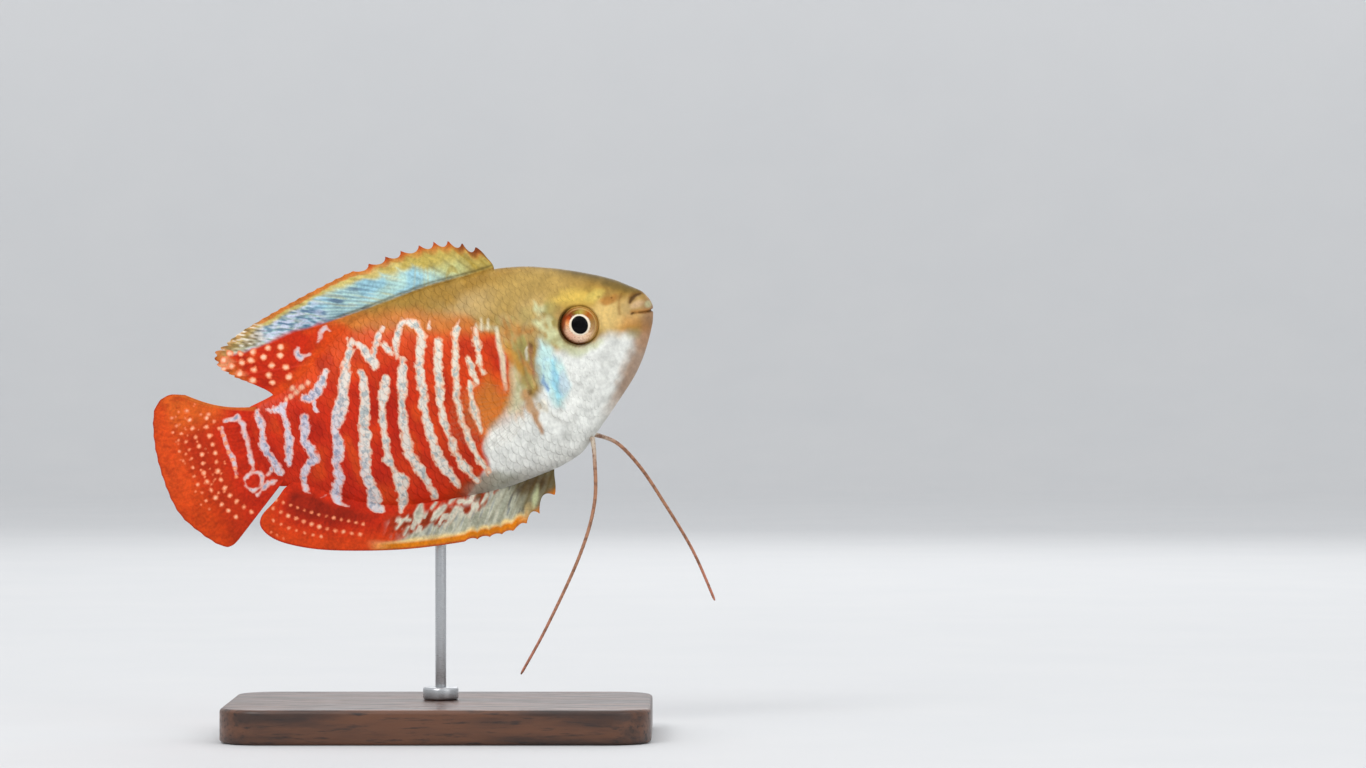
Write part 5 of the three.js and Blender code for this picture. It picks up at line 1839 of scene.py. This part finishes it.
def fin_material(groups):
    """Fin skin, with pale dots that have orange rims."""
    material, tree, shader, place = new_material(
        "fin", Roughness=0.46, Coat_Weight=0.02, Coat_Roughness=0.2, Specular_IOR_Level=0.12)
    barred, marks = barred_colour(tree, groups, place, 0.16, 0.12, 0.8, 0.0)
    rag = between(tree, noise(tree, place, 1300, 2), 0.25, 0.75, -0.05, 0.05)
    edge = reckon(tree, "ADD", marks[2], rag)
    dot = mix(tree, between(tree, edge, 0.52, 0.7), DOT_RIM, DOT_CORE)
    colour = mix(tree, between(tree, edge, 0.43, 0.58), barred, dot)
    feed(tree, shader.inputs["Base Color"], colour)
    add_bump(tree, shader, noise(tree, place, 1800, 3), 0.3, 0.04)
    return material


def clear_fin_material():
    """Clear fin skin that only its rays make visible."""
    material, tree, shader, place = new_material("clear_fin", Roughness=0.35, Specular_IOR_Level=0.2)
    paint, _ = attribute(tree, "Paint")
    _, marks = attribute(tree, "Marks")
    feed(tree, shader.inputs["Base Color"], paint)
    grain = between(tree, noise(tree, place, 1600, 2), 0.3, 0.7, 0.85, 1.1)
    feed(tree, shader.inputs["Alpha"], times(tree, marks[0], grain))
    return material


def feeler_material():
    """Pale at its root, then brownish pink, with small brown patches."""
    material, tree, shader, place = new_material("feeler", Roughness=0.5)
    _, share = attribute(tree, "Paint")
    colour = mix(tree, between(tree, share[0], 0.0, 0.16), FEELER_ROOT, FEELER_MIDDLE)
    colour = mix(tree, between(tree, share[0], 0.5, 1.0), colour, FEELER_TIP)
    brown = between(tree, noise(tree, place, 1500, 2), 0.4, 0.7)
    feed(tree, shader.inputs["Base Color"], mix(tree, brown, colour, FEELER_BROWN))
    add_bump(tree, shader, noise(tree, place, 2500, 2), 0.3, 0.05)
    return material


def iris_colour(tree, turn, streaks, across, up, radius):
    """The iris: its colour changes round the eye, with rust outside and red above and behind."""
    iris = add_node(tree, "ShaderNodeValToRGB", {"Fac": turn})
    for index, (degrees, colour) in enumerate(IRIS_COLOURS):
        spots = iris.color_ramp.elements
        stop = spots[index] if index < 2 else spots.new((degrees + 180) / 360)
        stop.color = tint(*colour)
    iris = iris.outputs["Color"]
    iris = mix(tree, times(tree, between(tree, streaks, 0.0, 0.8), 0.4), iris, IRIS_STREAK)
    iris = mix(tree, times(tree, between(tree, radius, 2.0, 2.6), 0.5), iris, IRIS_RUST)
    upper_back = reckon(tree, "MULTIPLY_ADD", across, -0.55, times(tree, up, 0.83))
    red = times(tree, between(tree, upper_back, 0.8, 1.9), between(tree, radius, 1.9, 2.3))
    return mix(tree, times(tree, red, 0.85), iris, IRIS_UPPER_RED)


def eye_material():
    """Black pupil, cream inner ring, the iris, and an outer ring with a golden arc in it."""
    material, tree, shader, _ = new_material(
        "eye", Roughness=0.25, Coat_Weight=0.1, Coat_Roughness=0.02, Specular_IOR_Level=0.06)
    face = add_node(tree, "ShaderNodeUVMap", {}, uv_map="Face").outputs[0]
    middle = (0.5 + PUPIL_SHIFT[0] / EYE_RADIUS / 2, 0.5 + PUPIL_SHIFT[1] / EYE_RADIUS / 2, 0)
    offset = vector_step(tree, "SUBTRACT", {0: face, 1: middle})[0]
    offset = vector_step(tree, "SCALE", {0: offset, "Scale": EYE_RADIUS * 2})[0]
    across, up, _ = add_node(tree, "ShaderNodeSeparateXYZ", {0: offset}).outputs
    streaks = between(tree, noise(tree, face, 24, 4, 0.65), 0.3, 0.7, -1, 1)
    radius = vector_step(tree, "LENGTH", {0: offset})["Value"]
    radius = reckon(tree, "MULTIPLY_ADD", streaks, 0.05, radius)
    tall = vector_step(tree, "MULTIPLY", {0: offset, 1: (1.08, 0.97, 1)})[0]
    pupil_radius = vector_step(tree, "LENGTH", {0: tall})["Value"]
    turn = between_even(tree, reckon(tree, "ARCTAN2", up, across), -math.pi, math.pi)
    turn = reckon(tree, "MULTIPLY_ADD", streaks, 0.012, turn)
    iris = iris_colour(tree, turn, streaks, across, up, radius)
    inner = mix(tree, between(tree, radius, 1.46, 1.64), IRIS_CREAM, iris)
    # The outer ring is dark behind and below the pupil, and a soft brown before it
    behind = reckon(tree, "MULTIPLY_ADD", across, -0.9, times(tree, up, -0.2))
    behind = between(tree, behind, -0.7, 1.2)
    ring = mix(tree, between(tree, radius, 2.42, 2.72), inner, mix(tree, behind, *EYE_RING))
    arc = times(tree, between(tree, radius, 2.2, 2.3), between(tree, radius, 2.5, 2.4))
    before = reckon(tree, "SUBTRACT", 0.45, times(tree, behind, 0.45))
    ring = mix(tree, times(tree, arc, before), ring, EYE_ARC_GOLD)
    eye = mix(tree, between(tree, pupil_radius, 1.24, 1.36), PUPIL_BLACK, ring)
    feed(tree, shader.inputs["Base Color"], eye)
    return material


def stretched(tree, place, scale):
    """Places drawn out along one direction, for grain."""
    return add_node(tree, "ShaderNodeMapping", {"Vector": place, "Scale": scale}).outputs[0]


def wood_material():
    """Dark polished wood with its figure and fine pores along the base."""
    material, tree, shader, place = new_material(
        "stand_wood", Roughness=0.42, Coat_Weight=0.25, Coat_Roughness=0.2)
    lengthwise = stretched(tree, place, (0.12, 1.0, 1.0))
    figure = noise(tree, lengthwise, 330, 5, 0.6)
    pores = noise(tree, lengthwise, 1700, 3, 0.6)
    colour = mix(tree, between(tree, figure, 0.35, 0.65), *WOOD_GRAIN)
    colour = mix(tree, between(tree, pores, 0.52, 0.7), colour, WOOD_PORE)
    feed(tree, shader.inputs["Base Color"], colour)
    feed(tree, shader.inputs["Roughness"], between(tree, pores, 0.3, 0.7, 0.36, 0.52))
    add_bump(tree, shader, pores, 0.25, 0.08)
    return material


def steel_material():
    """Turned steel, with fine lines round the rod."""
    material, tree, shader, place = new_material(
        "stand_steel", Base_Color=STEEL_GREY, Metallic=1.0, Roughness=0.3)
    lines = noise(tree, stretched(tree, place, (1.0, 1.0, 14.0)), 900, 3, 0.6)
    feed(tree, shader.inputs["Roughness"], between(tree, lines, 0.3, 0.7, 0.26, 0.4))
    add_bump(tree, shader, lines, 0.15, 0.02)
    return material


def stage_material():
    """Pale grey, a little lighter up the wall, which gets less light than the floor."""
    material, tree, shader, place = new_material("stage", Roughness=0.9, Specular_IOR_Level=0.1)
    height = add_node(tree, "ShaderNodeSeparateXYZ", {0: place}).outputs[2]
    floor = mix(tree, noise(tree, place, 30, 3), *FLOOR_GREYS)
    colour = mix(tree, between(tree, height, 0.0, 0.5), floor, WALL_GREY)
    feed(tree, shader.inputs["Base Color"], colour)
    return material


# Studio


def make_stage():
    """A round pale floor whose edge curves up into a wall all round."""
    floor_radius, bend, wall, steps = 1.15, 0.35, 0.6, 12
    under_base = 0.00005
    profile = [(0.0, 0.0), (floor_radius, 0.0)]
    for i in range(1, steps + 1):
        angle = math.pi / 2 * i / steps
        profile.append((floor_radius + bend * math.sin(angle), bend * (1 - math.cos(angle))))
    profile.append((floor_radius + bend, wall))
    mesh = bpy.data.meshes.new("stage")
    places = [(out, 0, up - under_base) for out, up in profile]
    mesh.from_pydata(places, [(i, i + 1) for i in range(len(places) - 1)], [])
    stage = bpy.data.objects.new("stage", mesh)
    add_to_scene(stage)
    pick(stage)
    set_mode("EDIT")
    bpy.ops.mesh.select_all(action="SELECT")
    bpy.ops.mesh.spin(steps=96, angle=2 * math.pi, center=(0, 0, 0), axis=(0, 0, 1))
    bpy.ops.mesh.select_all(action="SELECT")
    bpy.ops.mesh.remove_doubles(threshold=0.0001)
    bpy.ops.mesh.normals_make_consistent(inside=True)
    set_mode("OBJECT")
    mesh.shade_smooth()
    mesh.materials.append(stage_material())


def add_light(name, place, size, power):
    """A square soft light that looks at the fish."""
    data = bpy.data.lights.new(name, "AREA")
    data.shape = "SQUARE"
    data.size = size
    data.energy = power
    light = bpy.data.objects.new(name, data)
    light.location = place
    light.rotation_euler = (Vector(LIT_PLACE) - Vector(place)).to_track_quat("-Z", "Y").to_euler()
    light.visible_camera = False
    add_to_scene(light)


def make_lights():
    """A key light from the upper left, softer ones round it, and an even pale sky."""
    add_light("key", (-0.28, -0.5, 0.5), 0.22, 1.5)
    add_light("fill", (0.5, -0.5, 0.3), 0.4, 0.6)
    add_light("top", (0.0, 0.1, 0.8), 0.5, 0.9)
    add_light("back", (0.1, 0.6, 0.4), 0.5, 0.9)
    world = bpy.data.worlds.new("world")
    bpy.context.scene.world = world
    world.use_nodes = True
    shine = world.node_tree.nodes["Background"]
    shine.inputs["Color"].default_value = (0.95, 0.97, 1.0, 1)
    shine.inputs["Strength"].default_value = 0.95


def make_camera():
    """The photo's framing: its middle pixel, at the fish's own plane."""
    x = (PHOTO_SIZE[0] / 2 - BASE_PIXEL[0]) * PIXEL
    z = (BASE_PIXEL[1] - PHOTO_SIZE[1] / 2) * PIXEL
    data = bpy.data.cameras.new("camera")
    data.sensor_width = SENSOR_WIDTH
    data.lens = SENSOR_WIDTH * CAMERA_DISTANCE / (PHOTO_SIZE[0] * PIXEL)
    data.clip_start = 0.01
    camera = bpy.data.objects.new("camera", data)
    camera.location = Vector((x, -CAMERA_DISTANCE, z + CAMERA_RISE)) * MM
    aim = Vector((x, 0, z)) * MM - camera.location
    camera.rotation_euler = aim.to_track_quat("-Z", "Y").to_euler()
    add_to_scene(camera)
    bpy.context.scene.camera = camera


make_camera()
make_lights()
make_stage()
bpy.context.scene.view_settings.view_transform = "Standard"

groups = {"mottle": mottle_group(), "bars": bars_group(), "plates": plate_group()}
skin_paint = skin_material(groups, "skin", False)
scale_paint = skin_material(groups, "scales", True)
fin_paint = fin_material(groups)
clear_paint = clear_fin_material()
eye_paint = eye_material()
feeler_paint = feeler_material()

back_of_ring, grid, normal = skin_grid()
make_skin(skin_paint, grid)
make_scales("right", scale_paint, back_of_ring, grid, normal)
make_scales("left", scale_paint, back_of_ring, grid, normal)
make_dorsal_fin(fin_paint)
make_anal_fin(fin_paint)
make_tail_fin(fin_paint)
for name, side, feeler in (("right", -1, RIGHT_FEELER), ("left", 1, LEFT_FEELER)):
    make_pectoral_fin(clear_paint, name, side)
    make_eye(eye_paint, name, side)
    make_feeler(feeler_paint, name, side, feeler)
make_stand(wood_material(), steel_material())

bpy.context.view_layer.update()
